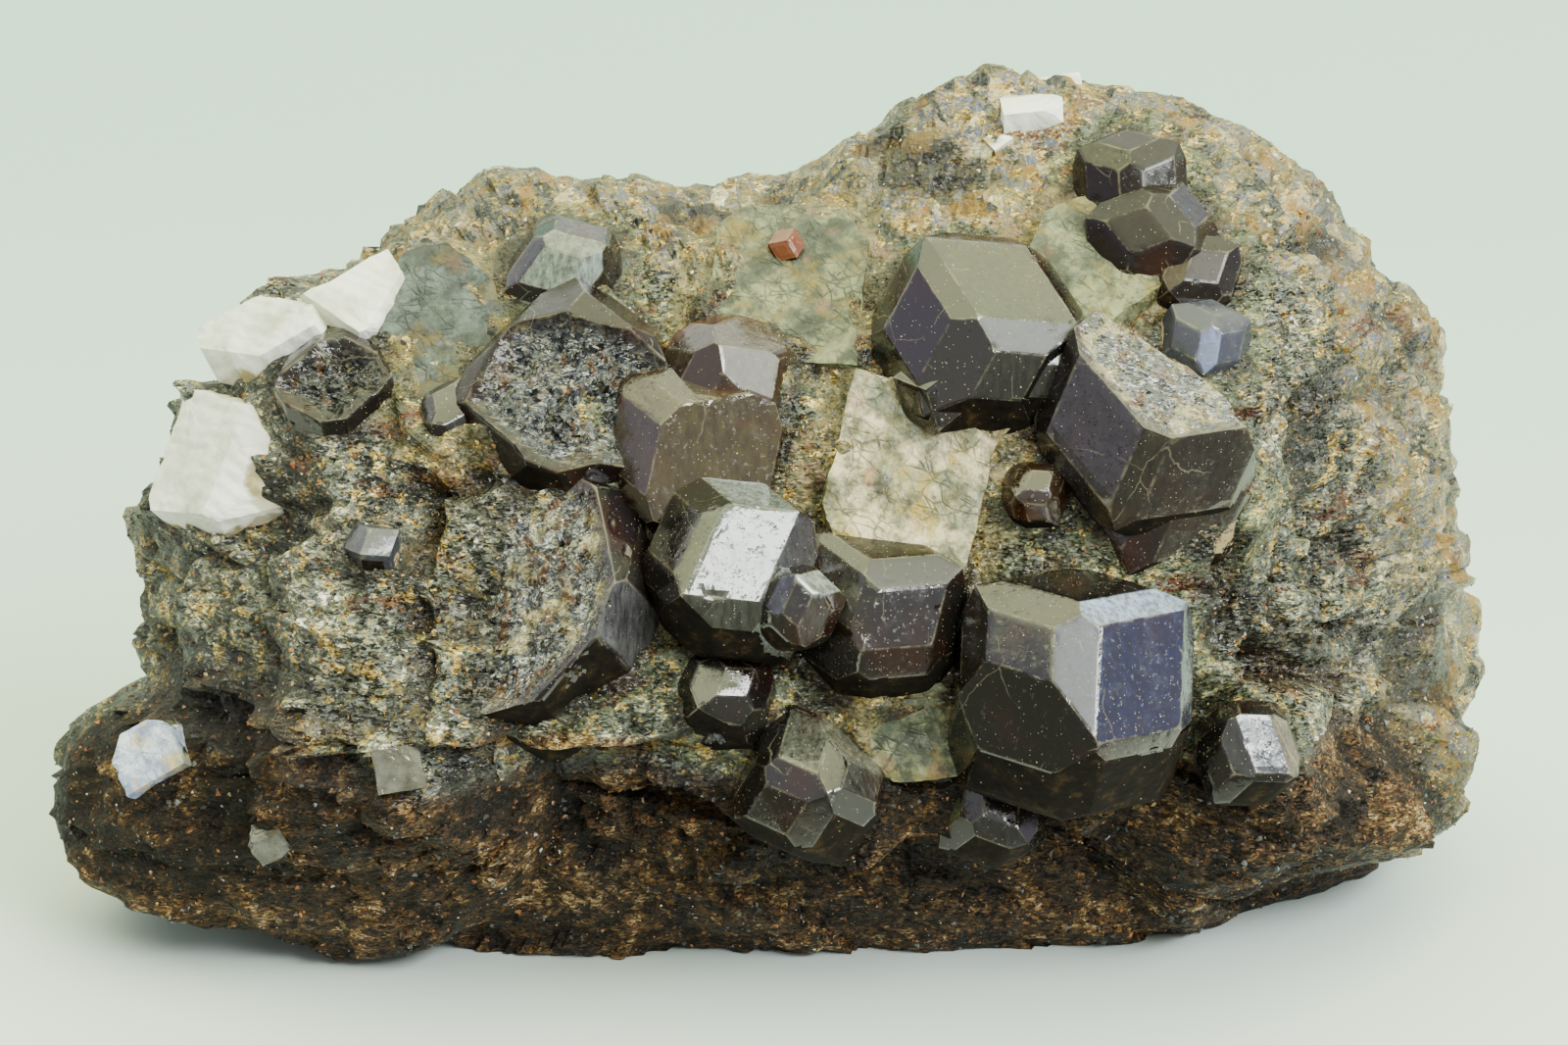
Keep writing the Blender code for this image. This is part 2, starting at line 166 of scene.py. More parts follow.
def make_floor():
    """Paper on the table: a sheet that lies flat and rises in a wide curve behind. In front of the specimen
    it is painted near black as shade.

    Along the sheet its height is zero up to the bend, then follows a quarter circle that ends upright."""
    along = np.concatenate([np.linspace(-1.4, 0.7, 43), 0.7 + 0.5 * np.sin(np.linspace(0.05, 1.57, 20))])
    height = np.concatenate([np.zeros(43), 0.5 - 0.5 * np.cos(np.linspace(0.05, 1.57, 20))])
    across = np.linspace(-1.4, 1.4, 41)
    y, x = np.meshgrid(along, across, indexing="ij")
    z = np.repeat(height[:, None], len(across), axis=1)
    places = np.stack([x, y, z], -1).reshape(-1, 3)
    floor = bare_piece("paper_floor", places, grid_faces(*x.shape)[:, ::-1], True)
    material, shader = plain_material("paper", 0.75)
    reach = node("SeparateXYZ", Vector=where()).outputs["Y"]
    # Painted shade: in front of the specimen the paper goes near black, so the lowest crystal faces reflect
    # darkness.
    feed(shader, Base_Color=ramp(grade(reach, -0.14, 0.16), [
        (0.0, (0.05, 0.05, 0.05)), (0.345, (0.05, 0.05, 0.05)), (0.385, (0.68, 0.75, 0.74)),
        (0.50, (0.60, 0.72, 0.68)), (1.0, (0.44, 0.64, 0.58))]))
    floor.data.materials.append(material)


make_floor()


def soft_light(name, azimuth, elevation, distance, width, height, power, colour):
    """A rectangle of light aimed at the specimen; azimuth turns from the viewer to the right."""
    lamp = bpy.data.lights.new(name, "AREA")
    lamp.shape = "RECTANGLE"
    lamp.size = width
    lamp.size_y = height
    lamp.energy = power
    lamp.color = colour
    holder = bpy.data.objects.new(name, lamp)
    a, e = math.radians(azimuth), math.radians(elevation)
    way = Vector((math.sin(a) * math.cos(e), -math.cos(a) * math.cos(e), math.sin(e)))
    holder.location = way * distance + Vector((0.0, 0.0, 0.025))
    holder.rotation_euler = way.to_track_quat("Z", "Y").to_euler()
    bpy.context.scene.collection.objects.link(holder)


soft_light("window", 48, 36, 0.80, 0.78, 0.23, 13.0, (0.95, 1.0, 0.96))


def room_light():
    """Dim room: grey in front, blue towards both sides, pale green above."""
    world = bpy.data.worlds.new("room")
    world.use_nodes = True
    bpy.context.scene.world = world
    BENCH["tree"] = world.node_tree
    way = node("SeparateXYZ", Vector=node("TexCoord").outputs["Generated"]).outputs
    tone = cover((0.78, 0.78, 0.74), (0.78, 0.76, 0.92), sums("ABSOLUTE", way["X"]), 0.60, 0.90)
    tone = cover(tone, (2.10, 2.20, 1.90), way["Y"], 0.10, 0.60)
    tone = cover(tone, (3.90, 4.15, 2.45), way["Z"], 0.62, 0.80)
    tone = cover(tone, (0.16, 0.15, 0.14), way["Z"], 0.0, -0.10)
    feed(world.node_tree.nodes["Background"], Color=tone, Strength=1.0)


room_light()

AIM = np.array((1.65, -0.5, 24.8)) - SHIFT
CAMERA_PITCH = math.radians(20.0)
CAMERA_REACH = 367.0
camera = bpy.data.objects.new("camera", bpy.data.cameras.new("camera"))
camera.data.lens = 135.0
camera.data.sensor_width = 36.0
camera.data.clip_start = 0.01
CAMERA_WAY = np.array((0.0, -math.cos(CAMERA_PITCH), math.sin(CAMERA_PITCH)))
camera.location = (AIM + CAMERA_WAY * CAMERA_REACH) * MM
camera.rotation_euler = (math.pi / 2 - CAMERA_PITCH, 0.0, 0.0)
bpy.context.scene.collection.objects.link(camera)
bpy.context.scene.camera = camera

# ---------------------------------------------------------------- the matrix rock
# A broken lump of coarse skarn: dark amphibole and mica, grey-green feldspar and rusty stain,
# grown together grain by grain. It broke along flat joints and stepped ledges, and its
# underside and lower front are stained dark brown.
ROCK_HEART = np.array((0.0, 0.0, 21.0))
ROCK_CELLS = (228, 56, 126)
LUMPS = (
    ((3, 0, 24), (41, 21, 22)), ((19, 4, 35), (19.5, 13, 16.5)), ((-12, 5, 21), (18, 16, 25)),
    ((-24, -8, 17), (15, 15, 16)), ((-33.8, -5, 8.3), (12, 11, 7.6)), ((32, 7, 14), (13, 14, 21)),
    ((32, -4, 11), (13, 15, 12)), ((37, -1, 32), (8, 8, 8)), ((2, -2, 10), (41, 13, 14)),
)
BREAKS = (
    ((0.0, -0.80, -0.60), 9.4, 1.0), ((0.0, -0.88, 0.47), 27.5, 2.0), ((-0.05, -0.62, 0.78), 35.0, 2.5),
    ((0.74, -0.62, 0.26), 38.5, 2.0), ((-0.62, -0.70, 0.36), 37.5, 2.0), ((0.30, -0.45, -0.84), 10.8, 1.5),
    ((0.10, 0.92, 0.38), 28.0, 3.0), ((0.0, 0.75, -0.66), 8.0, 2.0),
)
ROUGHNESS = ((13.0, 1.5, 3.1), (6.5, 0.9, 7.7), (3.4, 0.5, 1.9))
LEDGE_HEIGHT = 0.7
LEDGE_SPACING = 4.5
PITS = (
    ((6.0, -15.0, 8.5), 4.0, 1.4), ((-37.0, -9.0, 18.0), 4.5, 2.0), ((40.0, -8.0, 22.0), 6.0, 1.6),
    ((-1.0, 2.0, 45.0), 6.0, 1.2), ((8.0, 21.0, 24.0), 9.0, 2.2), ((-18.0, 18.0, 22.0), 7.0, -2.0),
    ((41.0, 3.0, 12.0), 4.5, -1.6), ((38.5, -9.0, 10.0), 4.0, -1.6), ((13.0, 4.0, 49.0), 4.5, -1.2),
    ((-28.0, 2.0, 36.0), 4.5, -1.3),
)
# The crystals and blocks that the rock is moulded round: garnets are given by middle, turn, rhomb and
# kite distances, shifts of single faces and breaks; blocks by middle, turn, half sizes and cut corners.
GARNETS = {
    "front_right": ((18.7, -19.0, 20.7), (-1, -39, 4), 7.03, 7.34,
                    {(1, -1, 0): -0.4, (0, -1, 1): 0.4, (-1, -1, 2): 0.3, (-1, -2, 1): -0.6,
                     (1, -1, 2): 0.3, (1, -2, -1): 0.2}, ()),
    "front_small": ((29.3, -19.2, 16.9), (170, -52, -118), 3.02, 3.14,
                    {(1, -1, 0): -0.3, (2, -1, 1): -0.2, (1, -2, -1): -0.3, (2, -1, -1): 1.0}, ()),
    "upper": ((13.3, -8.0, 39.1), (-137, -64, -163), 6.19, 6.37,
              {(1, -1, 0): -0.6, (0, -1, 1): 0.3, (1, -2, -1): -0.1}, ()),
    "upper_step": ((16.5, -10.0, 38.4), (-134, -62, -166), 3.5, 3.55, {}, ()),
    "upper_low": ((11.0, -12.2, 37.4), (35, 20, 10), 2.2, 2.6, {}, ()),
    "right": ((23.9, -10.9, 35.3), (110, 31, -110), 6.8, 7.34, {},
              (((0.22, -0.56, 0.79), 5.3), ((0.53, 0.59, 0.61), 2.0), ((0.88, 0.30, 0.36), 3.4))),
    "right_low": ((24.4, -10.9, 31.2), (110, 31, -110), 5.7, 6.0, {}, (((0.75, -0.10, 0.65), 4.6),)),
    "right_chip": ((16.6, -14.3, 31.6), (40, 15, 60), 2.0, 2.05, {}, ()),
    "centre": ((-1.3, -17.5, 27.9), (-142, -5, -119), 5.08, 5.31,
               {(1, -1, 0): -0.4, (1, -2, -1): 1.7, (1, -2, 1): -0.4, (1, 0, 1): 0.4}, ()),
    "centre_corner": ((2.3, -21.0, 26.9), (64, 9, -172), 2.5, 2.58,
                      {(-1, 2, -1): 0.2, (-1, 1, -2): -0.2}, ()),
    "centre_black": ((7.3, -16.5, 24.6), (172, 36, 160), 5.15, 5.35,
                     {(-1, -2, -1): 0.3, (-1, -1, -2): 0.3, (1, -2, -1): -0.5}, ()),
    "centre_round": ((-2.0, -18.6, 20.4), (-138, -9, -112), 3.2, 3.2, {},
                     (((-0.2, -0.8, -0.55), 2.9),)),
    "brown": ((-1.7, -9.1, 36.3), (37, -8, 3), 4.56, 4.62,
              {(1, -1, 2): -0.1, (2, -1, 1): -0.2, (1, 1, 2): -0.3, (1, 0, 1): 0.3}, ()),
    "brown_low": ((-3.6, -11.4, 32.9), (17, -38, -30), 5.4, 5.7, {(1, -1, 0): -1.0}, ()),
    "broken": ((-10.9, -9.3, 35.4), (66, 6, 14), 6.4, 6.5, {},
               (((0.02, -0.86, 0.50), 4.6), ((-0.30, -0.75, 0.60), 5.0), ((0.35, -0.82, 0.42), 5.0))),
    "low": ((3.3, -20.6, 15.3), (-45, -66, 149), 4.14, 4.26,
            {(1, -2, 1): -0.6, (2, -1, 1): 0.4, (0, -1, 1): -0.1}, ()),
    "ledge": ((14.4, -16.9, 12.3), (12, -28, 22), 3.3, 3.4, {}, ()),
    "pale": ((-11.5, -1.9, 41.0), (38, -4, -146), 3.62, 3.77, {(-1, 2, 1): 0.3}, ()),
    "left_small": ((-18.3, -10.2, 34.7), (73, 3, -25), 2.3, 2.37, {}, ()),
    "left_tiny": ((-22.9, -15.2, 28.4), (48, 12, 70), 1.5, 1.9, {(1, 1, 0): -0.4}, ()),
    "left_lump": ((-25.4, -7.6, 35.5), (55, 20, 35), 3.7, 3.8, {},
                  (((-0.1, -0.80, 0.59), 3.0), ((0.2, -0.55, 0.81), 3.2))),
    "left_mass": ((-13.6, -14.4, 25.0), (68, -4, 27), 8.3, 8.5, {},
                  (((-0.50, -0.76, 0.42), 4.6), ((-0.62, -0.58, 0.53), 5.0), ((-0.28, -0.60, 0.75), 5.6))),
    "top_right": ((22.9, 0.6, 46.1), (15, 40, 10), 3.5, 3.6, {}, ()),
    "top_right_mid": ((24.0, -2.4, 43.2), (-110, 30, 20), 4.0, 4.1, {}, ()),
    "top_right_low": ((26.2, -4.0, 41.6), (50, 10, 70), 3.2, 3.3, {}, ()),
    "blue": ((26.9, -7.6, 38.7), (20, 55, 15), 2.8, 2.85, {}, ()),
    "red": ((1.8, -3.3, 43.6), (10, 20, 30), 1.0, 1.3, {}, ()),
}

BLOCKS = {
    "plate_centre": ((2.0, -4.1, 40.3), (39, 1, -6), (4.8, 5.8, 2.4),
                     (((0.8, 0.6, 0.0), 5.9), ((-0.7, 0.7, 0.0), 6.2), ((-0.8, -0.6, 0.1), 5.8))),
    "plate_face": ((9.0, -12.7, 31.6), (58, 13, -6), (4.8, 5.8, 2.8),
                   (((-0.8, -0.6, 0.0), 5.6), ((0.3, 0.9, 0.3), 5.4))),
    "plate_left": ((-18.6, -5.7, 36.9), (38, -12, 8), (3.9, 7.6, 2.2),
                   (((0.8, 0.5, 0.3), 5.8), ((-0.8, -0.5, 0.2), 5.6), ((-0.7, 0.7, 0.0), 6.2))),
    "plate_right": ((20.7, -4.2, 41.8), (37, 10, -18), (4.4, 4.8, 2.2),
                    (((-0.7, 0.7, 0.0), 4.9), ((0.8, -0.5, 0.2), 4.4))),
    "plate_low": ((9.4, -18.1, 18.1), (78, -4, 4), (3.6, 3.0, 2.0),
                  (((-0.6, -0.8, 0.0), 3.4), ((0.7, 0.6, 0.2), 3.7))),
    "calcite_left_low": ((-31.7, -5.8, 30.0), (43, -44, -17), (4.7, 5.1, 3.6),
                         (((0.5, -0.6, 0.6), 4.6), ((-0.6, -0.7, 0.3), 4.8), ((-0.6, 0.6, 0.5), 4.7),
                          ((0.7, 0.6, 0.4), 4.9))),
    "calcite_left_high": ((-29.2, -2.7, 36.4), (22, -31, -3), (4.1, 3.1, 3.0),
                          (((-0.6, -0.6, 0.5), 3.4), ((0.6, 0.6, 0.5), 3.6))),
    "calcite_left_ridge": ((-24.2, -3.4, 39.0), (30, -20, 24), (3.5, 2.4, 2.2),
                           (((0.5, -0.7, 0.5), 2.6), ((-0.9, -0.3, 0.2), 2.2))),
    "calcite_top": ((17.6, 5.2, 49.3), (16, -4, 8), (2.8, 2.0, 1.9), (((0.6, -0.5, 0.6), 2.2),)),
    "calcite_chip": ((14.8, 2.9, 48.2), (30, -25, 32), (0.8, 0.7, 1.0), (((0.5, 0.5, 0.7), 0.9),)),
    "feldspar_patch": ((-36.8, -12.3, 13.8), (54, -32, -3), (2.2, 1.9, 1.6),
                       (((0.7, 0.6, 0.2), 2.3), ((-0.7, 0.6, 0.3), 2.4))),
    "quartz_star": ((-21.2, -22.5, 17.3), (71, -8, 6), (1.5, 1.4, 1.2), (((0.6, 0.6, 0.5), 1.5),)),
    "quartz_bit": ((-29.1, -19.8, 11.5), (111, -26, -16), (1.2, 1.0, 1.0), (((0.5, -0.6, 0.6), 1.2),)),
}


def turned(turn):
    """Turning matrix of three angles in degrees, about X, then Y, then Z."""
    a, b, c = np.radians(turn)
    about_x = np.array(((1, 0, 0), (0, math.cos(a), -math.sin(a)), (0, math.sin(a), math.cos(a))))
    about_y = np.array(((math.cos(b), 0, math.sin(b)), (0, 1, 0), (-math.sin(b), 0, math.cos(b))))
    about_z = np.array(((math.cos(c), -math.sin(c), 0), (math.sin(c), math.cos(c), 0), (0, 0, 1)))
    return about_z @ about_y @ about_x


def garnet_planes(key):
    """Outward directions and distances of a garnet's faces, how many are breaks, and their names."""
    _, turn, rhomb, kite, shifts, breaks = GARNETS[key]
    frame_of = turned(turn)
    faces = []
    for a in (-1, 1):
        for b in (-1, 1):
            faces += [((a, b, 0), rhomb), ((a, 0, b), rhomb), ((0, a, b), rhomb)]
            for c in (-1, 1):
                faces += [((2 * a, b, c), kite), ((a, 2 * b, c), kite), ((a, b, 2 * c), kite)]
    normals = [frame_of @ unit(face) for face, distance in faces]
    distances = [distance + shifts.get(face, 0.0) for face, distance in faces]
    normals += [unit(way) for way, distance in breaks]
    distances += [distance for way, distance in breaks]
    names = [face for face, distance in faces] + list(range(len(breaks)))
    return np.array(normals), np.array(distances), len(breaks), names


def block_planes(name):
    """Middle, outward directions and distances of a block: the sides of a box, then the cut corners."""
    middle, turn, half, corners = BLOCKS[name]
    frame_of = turned(turn)
    normals = [frame_of @ (np.array((0, 1, 2)) == axis) * side for axis in range(3) for side in (-1, 1)]
    distances = [half[axis] for axis in range(3) for side in (-1, 1)]
    normals += [frame_of @ unit(way) for way, distance in corners]
    distances += [distance for way, distance in corners]
    return np.array(middle), np.array(normals), np.array(distances)


# Broken grains of the surface: size and height. Beside the crystals and the plates they are held low.
GRAIN_STEPS = ((8.6, 1.7), (4.3, 1.0), (2.1, 0.42), (1.05, 0.22), (0.55, 0.10))
# Sharp lower rims, from one end to the other, with the height that stands out over them and how
# far up it reaches.
RIMS = (
    ((-36.0, -12.5, 19.6), (-26.0, -19.5, 18.0), 2.2, 5.0),
    ((-26.0, -19.5, 18.0), (-7.0, -19.5, 18.2), 2.4, 5.0),
    ((26.0, -18.0, 12.6), (38.0, -14.0, 11.6), 1.8, 5.0), ((-43.0, -9.0, 8.0), (-33.0, -16.0, 8.2), 1.0, 4.0),
    ((-6.0, -18.0, 15.0), (5.0, -17.0, 11.8), 2.6, 2.2), ((5.0, -17.0, 11.8), (19.0, -16.0, 11.2), 3.2, 2.2),
    ((19.0, -16.0, 11.2), (29.0, -16.5, 13.4), 3.0, 2.2),
)
# Cracks between the rock's blocks: from one end to the other, width and depth.
SEAMS = (
    ((-20.8, -14.0, 31.4), (-20.2, -17.2, 24.5), 0.9, 1.7),
    ((-20.2, -17.2, 24.5), (-19.4, -20.5, 18.2), 0.8, 1.5),
    ((-20.8, -14.0, 31.4), (-9.5, -12.5, 32.4), 0.9, 1.8),
    ((-33.5, -8.5, 28.5), (-25.5, -13.2, 30.5), 0.8, 1.3),
    ((-35.5, -11.0, 21.0), (-28.0, -18.0, 22.5), 0.7, 0.9),
    ((28.5, -15.6, 28.5), (30.5, -14.8, 20.5), 0.8, 1.4),
    ((30.5, -14.8, 20.5), (41.0, -6.5, 16.5), 0.7, 1.2), ((33.0, -11.0, 33.5), (37.5, -7.0, 25.0), 0.7, 1.0),
    ((-16.0, -4.0, 43.0), (-9.0, -0.5, 46.0), 0.8, 1.0), ((27.0, -1.5, 44.5), (33.5, -3.5, 38.5), 0.8, 1.0),
)
# Deep dark hollows: middle, size, depth.
HOLLOWS = (
    ((30.5, -14.5, 20.6), 2.4, 2.6), ((-35.5, -12.5, 15.6), 3.0, 2.2), ((-20.8, -14.5, 30.6), 2.6, 1.6),
    ((-38.0, -7.0, 21.5), 4.0, 1.6), ((28.6, -15.6, 28.0), 1.6, 1.2), ((-24.4, -16.5, 27.0), 2.2, 1.0),
    ((-2.0, -20.5, 15.5), 2.2, 1.2), ((24.0, -17.0, 13.2), 2.0, 1.0),
)


def box_directions(cells):
    """Directions from the heart through a closed box grid, closer together in front, and its quads.

    Each of the six sides is a grid of two parameters; shared rims are merged by their place."""
    nx, ny, nz = cells
    points = []
    faces = []
    count = 0
    for a, b, c, na, nb, nc in ((0, 1, 2, nx, ny, nz), (1, 2, 0, ny, nz, nx), (2, 0, 1, nz, nx, ny)):
        for level in (0, nc):
            i, j = np.meshgrid(np.arange(na + 1), np.arange(nb + 1), indexing="ij")
            place = np.zeros((i.size, 3), int)
            place[:, a] = i.ravel()
            place[:, b] = j.ravel()
            place[:, c] = level
            side = grid_faces(na + 1, nb + 1) + count
            faces.append(side if level == 0 else side[:, ::-1])
            points.append(place)
            count += len(place)
    points = np.concatenate(points)
    faces = np.concatenate(faces)
    key = (points[:, 0] * (ny + 1) + points[:, 1]) * (nz + 1) + points[:, 2]
    _, first, number = np.unique(key, return_index=True, return_inverse=True)
    spread = points[first] * (2.0 / np.array(cells)) - 1.0
    spread = np.tan(spread * math.pi / 4) * (1.5, 1.0, 0.95)
    spread = spread / np.linalg.norm(spread, axis=1)[:, None] + (0.0, -0.36, 0.04)
    return spread / np.linalg.norm(spread, axis=1)[:, None], number.ravel()[faces]


def hashed(x, y, z, seed):
    """A number from 0 to 1 for each whole-number cell corner."""
    value = (x * 73856093) ^ (y * 19349663) ^ (z * 83492791) ^ int(seed * 6151)
    value = (value * 2654435761) % 4294967296
    value = ((value ^ (value >> 15)) * 2246822519) % 4294967296
    return ((value ^ (value >> 13)) % 65536) / 65535.0


def hash_noise(points, seed):
    """Smooth noise, -1 to 1: hashed values at the corners of unit cells, eased between."""
    cell = np.floor(points).astype(np.int64)
    part = points - cell
    part = part * part * (3.0 - 2.0 * part)
    total = np.zeros(len(points))
    for dx in (0, 1):
        for dy in (0, 1):
            for dz in (0, 1):
                share = np.where(dx, part[:, 0], 1 - part[:, 0]) * np.where(dy, part[:, 1], 1 - part[:, 1])
                share = share * np.where(dz, part[:, 2], 1 - part[:, 2])
                total += share * (2 * hashed(cell[:, 0] + dx, cell[:, 1] + dy, cell[:, 2] + dz, seed) - 1.0)
    return total


def smooth_step(values, low, high):
    """0 below low, 1 above high, eased between."""
    part = np.clip((values - low) / (high - low), 0.0, 1.0)
    return part * part * (3 - 2 * part)


GROOVE = 0.25                              # how deep the gaps between grains are, in grain heights


def broken_grains(points, size, seed):
    """Height of a surface broken along grains, -1 to 1.

    Space is split into cells round hashed middles. Inside a cell the height is a plane that leans
    its own way plus the cell's own level; towards the next cell it drops into a groove."""
    scaled = points / size
    cell = np.floor(scaled).astype(np.int64)
    nearest = np.full(len(points), 9.0)
    second = np.full(len(points), 9.0)
    height = np.zeros(len(points))
    for dx in (-1, 0, 1):
        for dy in (-1, 0, 1):
            for dz in (-1, 0, 1):
                x, y, z = cell[:, 0] + dx, cell[:, 1] + dy, cell[:, 2] + dz
                spot = np.stack([x + hashed(x, y, z, seed), y + hashed(x, y, z, seed + 1),
                                 z + hashed(x, y, z, seed + 2)], axis=1)
                away = scaled - spot
                apart = np.sqrt((away ** 2).sum(axis=1))
                lean = np.stack([hashed(x, y, z, seed + 3), hashed(x, y, z, seed + 4),
                                 hashed(x, y, z, seed + 5)], axis=1) * 2 - 1
                own = (away * lean).sum(axis=1) + 0.8 * hashed(x, y, z, seed + 6) - 0.4
                closer = apart < nearest
                second = np.where(closer, nearest, np.minimum(second, apart))
                height = np.where(closer, own, height)
                nearest = np.where(closer, apart, nearest)
    return (np.clip(height, -1.0, 1.0) + GROOVE) * smooth_step(second - nearest, 0.0, 0.16) - GROOVE


def rock_radius(directions):
    """Distance from the heart to the rock's surface before roughness.

    It is the soft maximum over the lumps, then the soft minimum with each flat break."""
    reach = []
    for middle, half in LUMPS:
        offset = (ROCK_HEART - np.array(middle, float)) / np.array(half, float)
        scaled = directions / np.array(half, float)
        a = (scaled ** 2).sum(axis=1)
        b = scaled @ offset
        inside = b * b - a * (offset @ offset - 1.0)
        reach.append(np.maximum(np.where(inside > 0, (np.sqrt(np.maximum(inside, 0)) - b) / a, 0.0), 0.0))
    reach = np.array(reach)
    top = reach.max(axis=0)
    radius = top + 1.2 * np.log(np.exp((reach - top) / 1.2).sum(axis=0))
    for normal, distance, roundness in BREAKS:
        normal = unit(normal)
        slope = directions @ normal
        limit = np.where(slope > 0.001, (distance - normal @ ROCK_HEART) / np.maximum(slope, 0.001), 200.0)
        limit = np.minimum(limit, 200.0)
        mix = np.clip(0.5 + 0.5 * (limit - radius) / roundness, 0.0, 1.0)
        radius = limit * (1 - mix) + radius * mix - roundness * mix * (1 - mix)
    return radius


def rock_form(directions):
    """Distance to the rock's surface with knobs, ledges and pits, but without single grains."""
    radius = rock_radius(directions)
    points = ROCK_HEART + directions * radius[:, None]
    for wavelength, height, shift in ROUGHNESS:
        radius = radius + height * hash_noise(points / wavelength + shift, shift)
    ledge = (points[:, 0] * 0.25 + points[:, 1] * 0.3 + points[:, 2]) / LEDGE_SPACING
    ledge = ledge + 0.8 * hash_noise(points / 9.0, 5.0)
    radius = radius + LEDGE_HEIGHT * (ledge - np.floor(ledge) - 0.5)
    for middle, size, depth in PITS:
        apart = np.linalg.norm(points - np.array(middle), axis=1) / size
        radius = radius - depth * np.clip(1.0 - apart ** 2, 0.0, 1.0)
    return radius


def outside_pieces(points, pieces, sideways=False):
    """How far each point lies outside the nearest of some plane-bounded pieces, negative inside.

    Sideways, planes that face out of the rock don't count, so it is the distance from the rim."""
    nearest = np.full(len(points), 9.0)
    for middle, normals, distances in pieces:
        near = np.linalg.norm(points - middle, axis=1) < distances.max() + 9.0
        away = (points[near] - middle) @ normals.T - distances
        if sideways:
            away = np.where(normals @ unit(middle - ROCK_HEART) > 0.65, -9.0, away)
        nearest[near] = np.minimum(nearest[near], away.max(axis=1))
    return nearest


def beside_line(points, start, end):
    """How far along a line each point lies, 0 to 1 between its ends, and its offset from the line."""
    start, run = np.array(start), np.array(end) - np.array(start)
    part = ((points - start) @ run) / (run @ run)
    return part, points - (start + np.clip(part, 0, 1)[:, None] * run)


def rock_surface(directions):
    """Points of the finished rock surface in millimetres, their relief, and how rusty they are.

    The form gets its rims and hollows, then broken grains of five sizes and the cracks; the rock
    swells a little where it grips a crystal or a plate."""
    radius = rock_form(directions)
    points = ROCK_HEART + directions * radius[:, None]
    rusty = np.zeros(len(points))
    for start, end, height, reach in RIMS:
        part, above = beside_line(points, start, end)
        above[:, 2] += 0.7 * hash_noise(points / 2.4, 51.0)
        ends = smooth_step(part, -0.25, 0.05) * smooth_step(-part, -1.25, -0.95)
        close = ends * np.exp(-((above[:, 0] ** 2 + above[:, 1] ** 2) / 60.0))
        rusty = np.maximum(rusty, ends * np.exp(-(above ** 2).sum(axis=1) / 5.0))
        over = smooth_step(above[:, 2], -0.5, 0.6) * np.exp(-np.maximum(above[:, 2], 0) / reach)
        below = (1 - smooth_step(above[:, 2], -0.5, 0.6)) * np.exp(np.minimum(above[:, 2], 0) / 3.0)
        radius = radius + height * close * (over - 0.6 * below)
    seam = np.zeros(len(points))
    for start, end, width, depth in SEAMS:
        apart = np.linalg.norm(beside_line(points, start, end)[1], axis=1)
        apart = apart + 0.9 * hash_noise(points / 1.9, 54.0)
        seam = np.maximum(seam, depth * np.exp(-np.maximum(apart, 0) ** 2 / width ** 2))
        rusty = np.maximum(rusty, 0.7 * np.exp(-(apart / 2.0) ** 2))
    for middle, size, depth in HOLLOWS:
        apart = np.linalg.norm(points - np.array(middle), axis=1) / size
        apart = apart + 0.25 * hash_noise(points / 1.3, 52.0)
        radius = radius - depth * (1 - smooth_step(apart, 0.35, 1.0))
    clear = outside_pieces(points, GARNET_PLANES)
    free = 0.30 + 0.70 * smooth_step(clear, 0.3, 4.0)
    calm = smooth_step(points[:, 0] + 1.2 * points[:, 1], 24.0, 40.0) + smooth_step(points[:, 1], 0.0, 8.0)
    plates = outside_pieces(points, BLOCK_PLANES)
    free = free * (1.0 - 0.45 * np.clip(calm, 0.0, 1.0)) * (0.45 + 0.55 * smooth_step(plates, 0.5, 4.0))
    free = free * (0.40 + 0.60 * smooth_step(points[:, 2], 1.0, 8.0))
    bend = np.stack([hash_noise(points / 2.2, seed) for seed in (11.0, 12.0, 13.0)], axis=1)
    relief = np.zeros(len(points))
    for size, height in GRAIN_STEPS:
        relief += height * free * broken_grains(points + 0.4 * bend, size, 20 + size)
    rim = outside_pieces(points, BLOCK_PLANES, True) + 0.7 + 0.9 * hash_noise(points / 1.7, 53.0)
    relief += np.exp(-(rim / 0.8) ** 2) * 0.75
    relief += 0.45 * np.exp(-np.maximum(clear, 0.0) / 0.9)
    relief -= seam
    radius = radius + relief
    points = ROCK_HEART + directions * radius[:, None]
    points[:, 2] = np.maximum(points[:, 2], 0.0)
    return points, relief, rusty


def mark(piece, name, values):
    """Store one number for each point of a piece."""
    piece.data.attributes.new(name, "FLOAT", "POINT").data.foreach_set("value", values.astype(np.float32))


def marked(name):
    """Read a stored number in a material."""
    return node("Attribute", {"attribute_name": name}).outputs["Fac"]


def cloudy(place, wave, detail=3.0, roughness=0.5):
    """Soft noise with bumps of a given width in metres."""
    return node("TexNoise", Vector=place, Scale=1.0 / wave, Detail=detail, Roughness=roughness).outputs["Fac"]


def laid(place, turn, stretch):
    """A place turned and stretched."""
    return node("Mapping", Vector=place, Rotation=turn, Scale=stretch).outputs[0]


def shaken(place, scale, detail, amount, start=None):
    """A place, or another start, pushed about by a noise that is read at the place."""
    noise = node("TexNoise", Vector=place, Scale=scale, Detail=detail).outputs["Color"]
    start = place if start is None else start
    return node("VectorMath", {"operation": "MULTIPLY_ADD"}, i0=noise, i1=(amount,) * 3, i2=start).outputs[0]


def crumbs(place, size, warp=0.0005):
    """Random colour of irregular grains of a size in metres, and the distance from each one's middle."""
    cells = node("TexVoronoi", Vector=shaken(place, 0.45 / size, 2.0, warp * 2), Scale=1.0 / size)
    return cells.outputs["Color"], cells.outputs["Distance"]


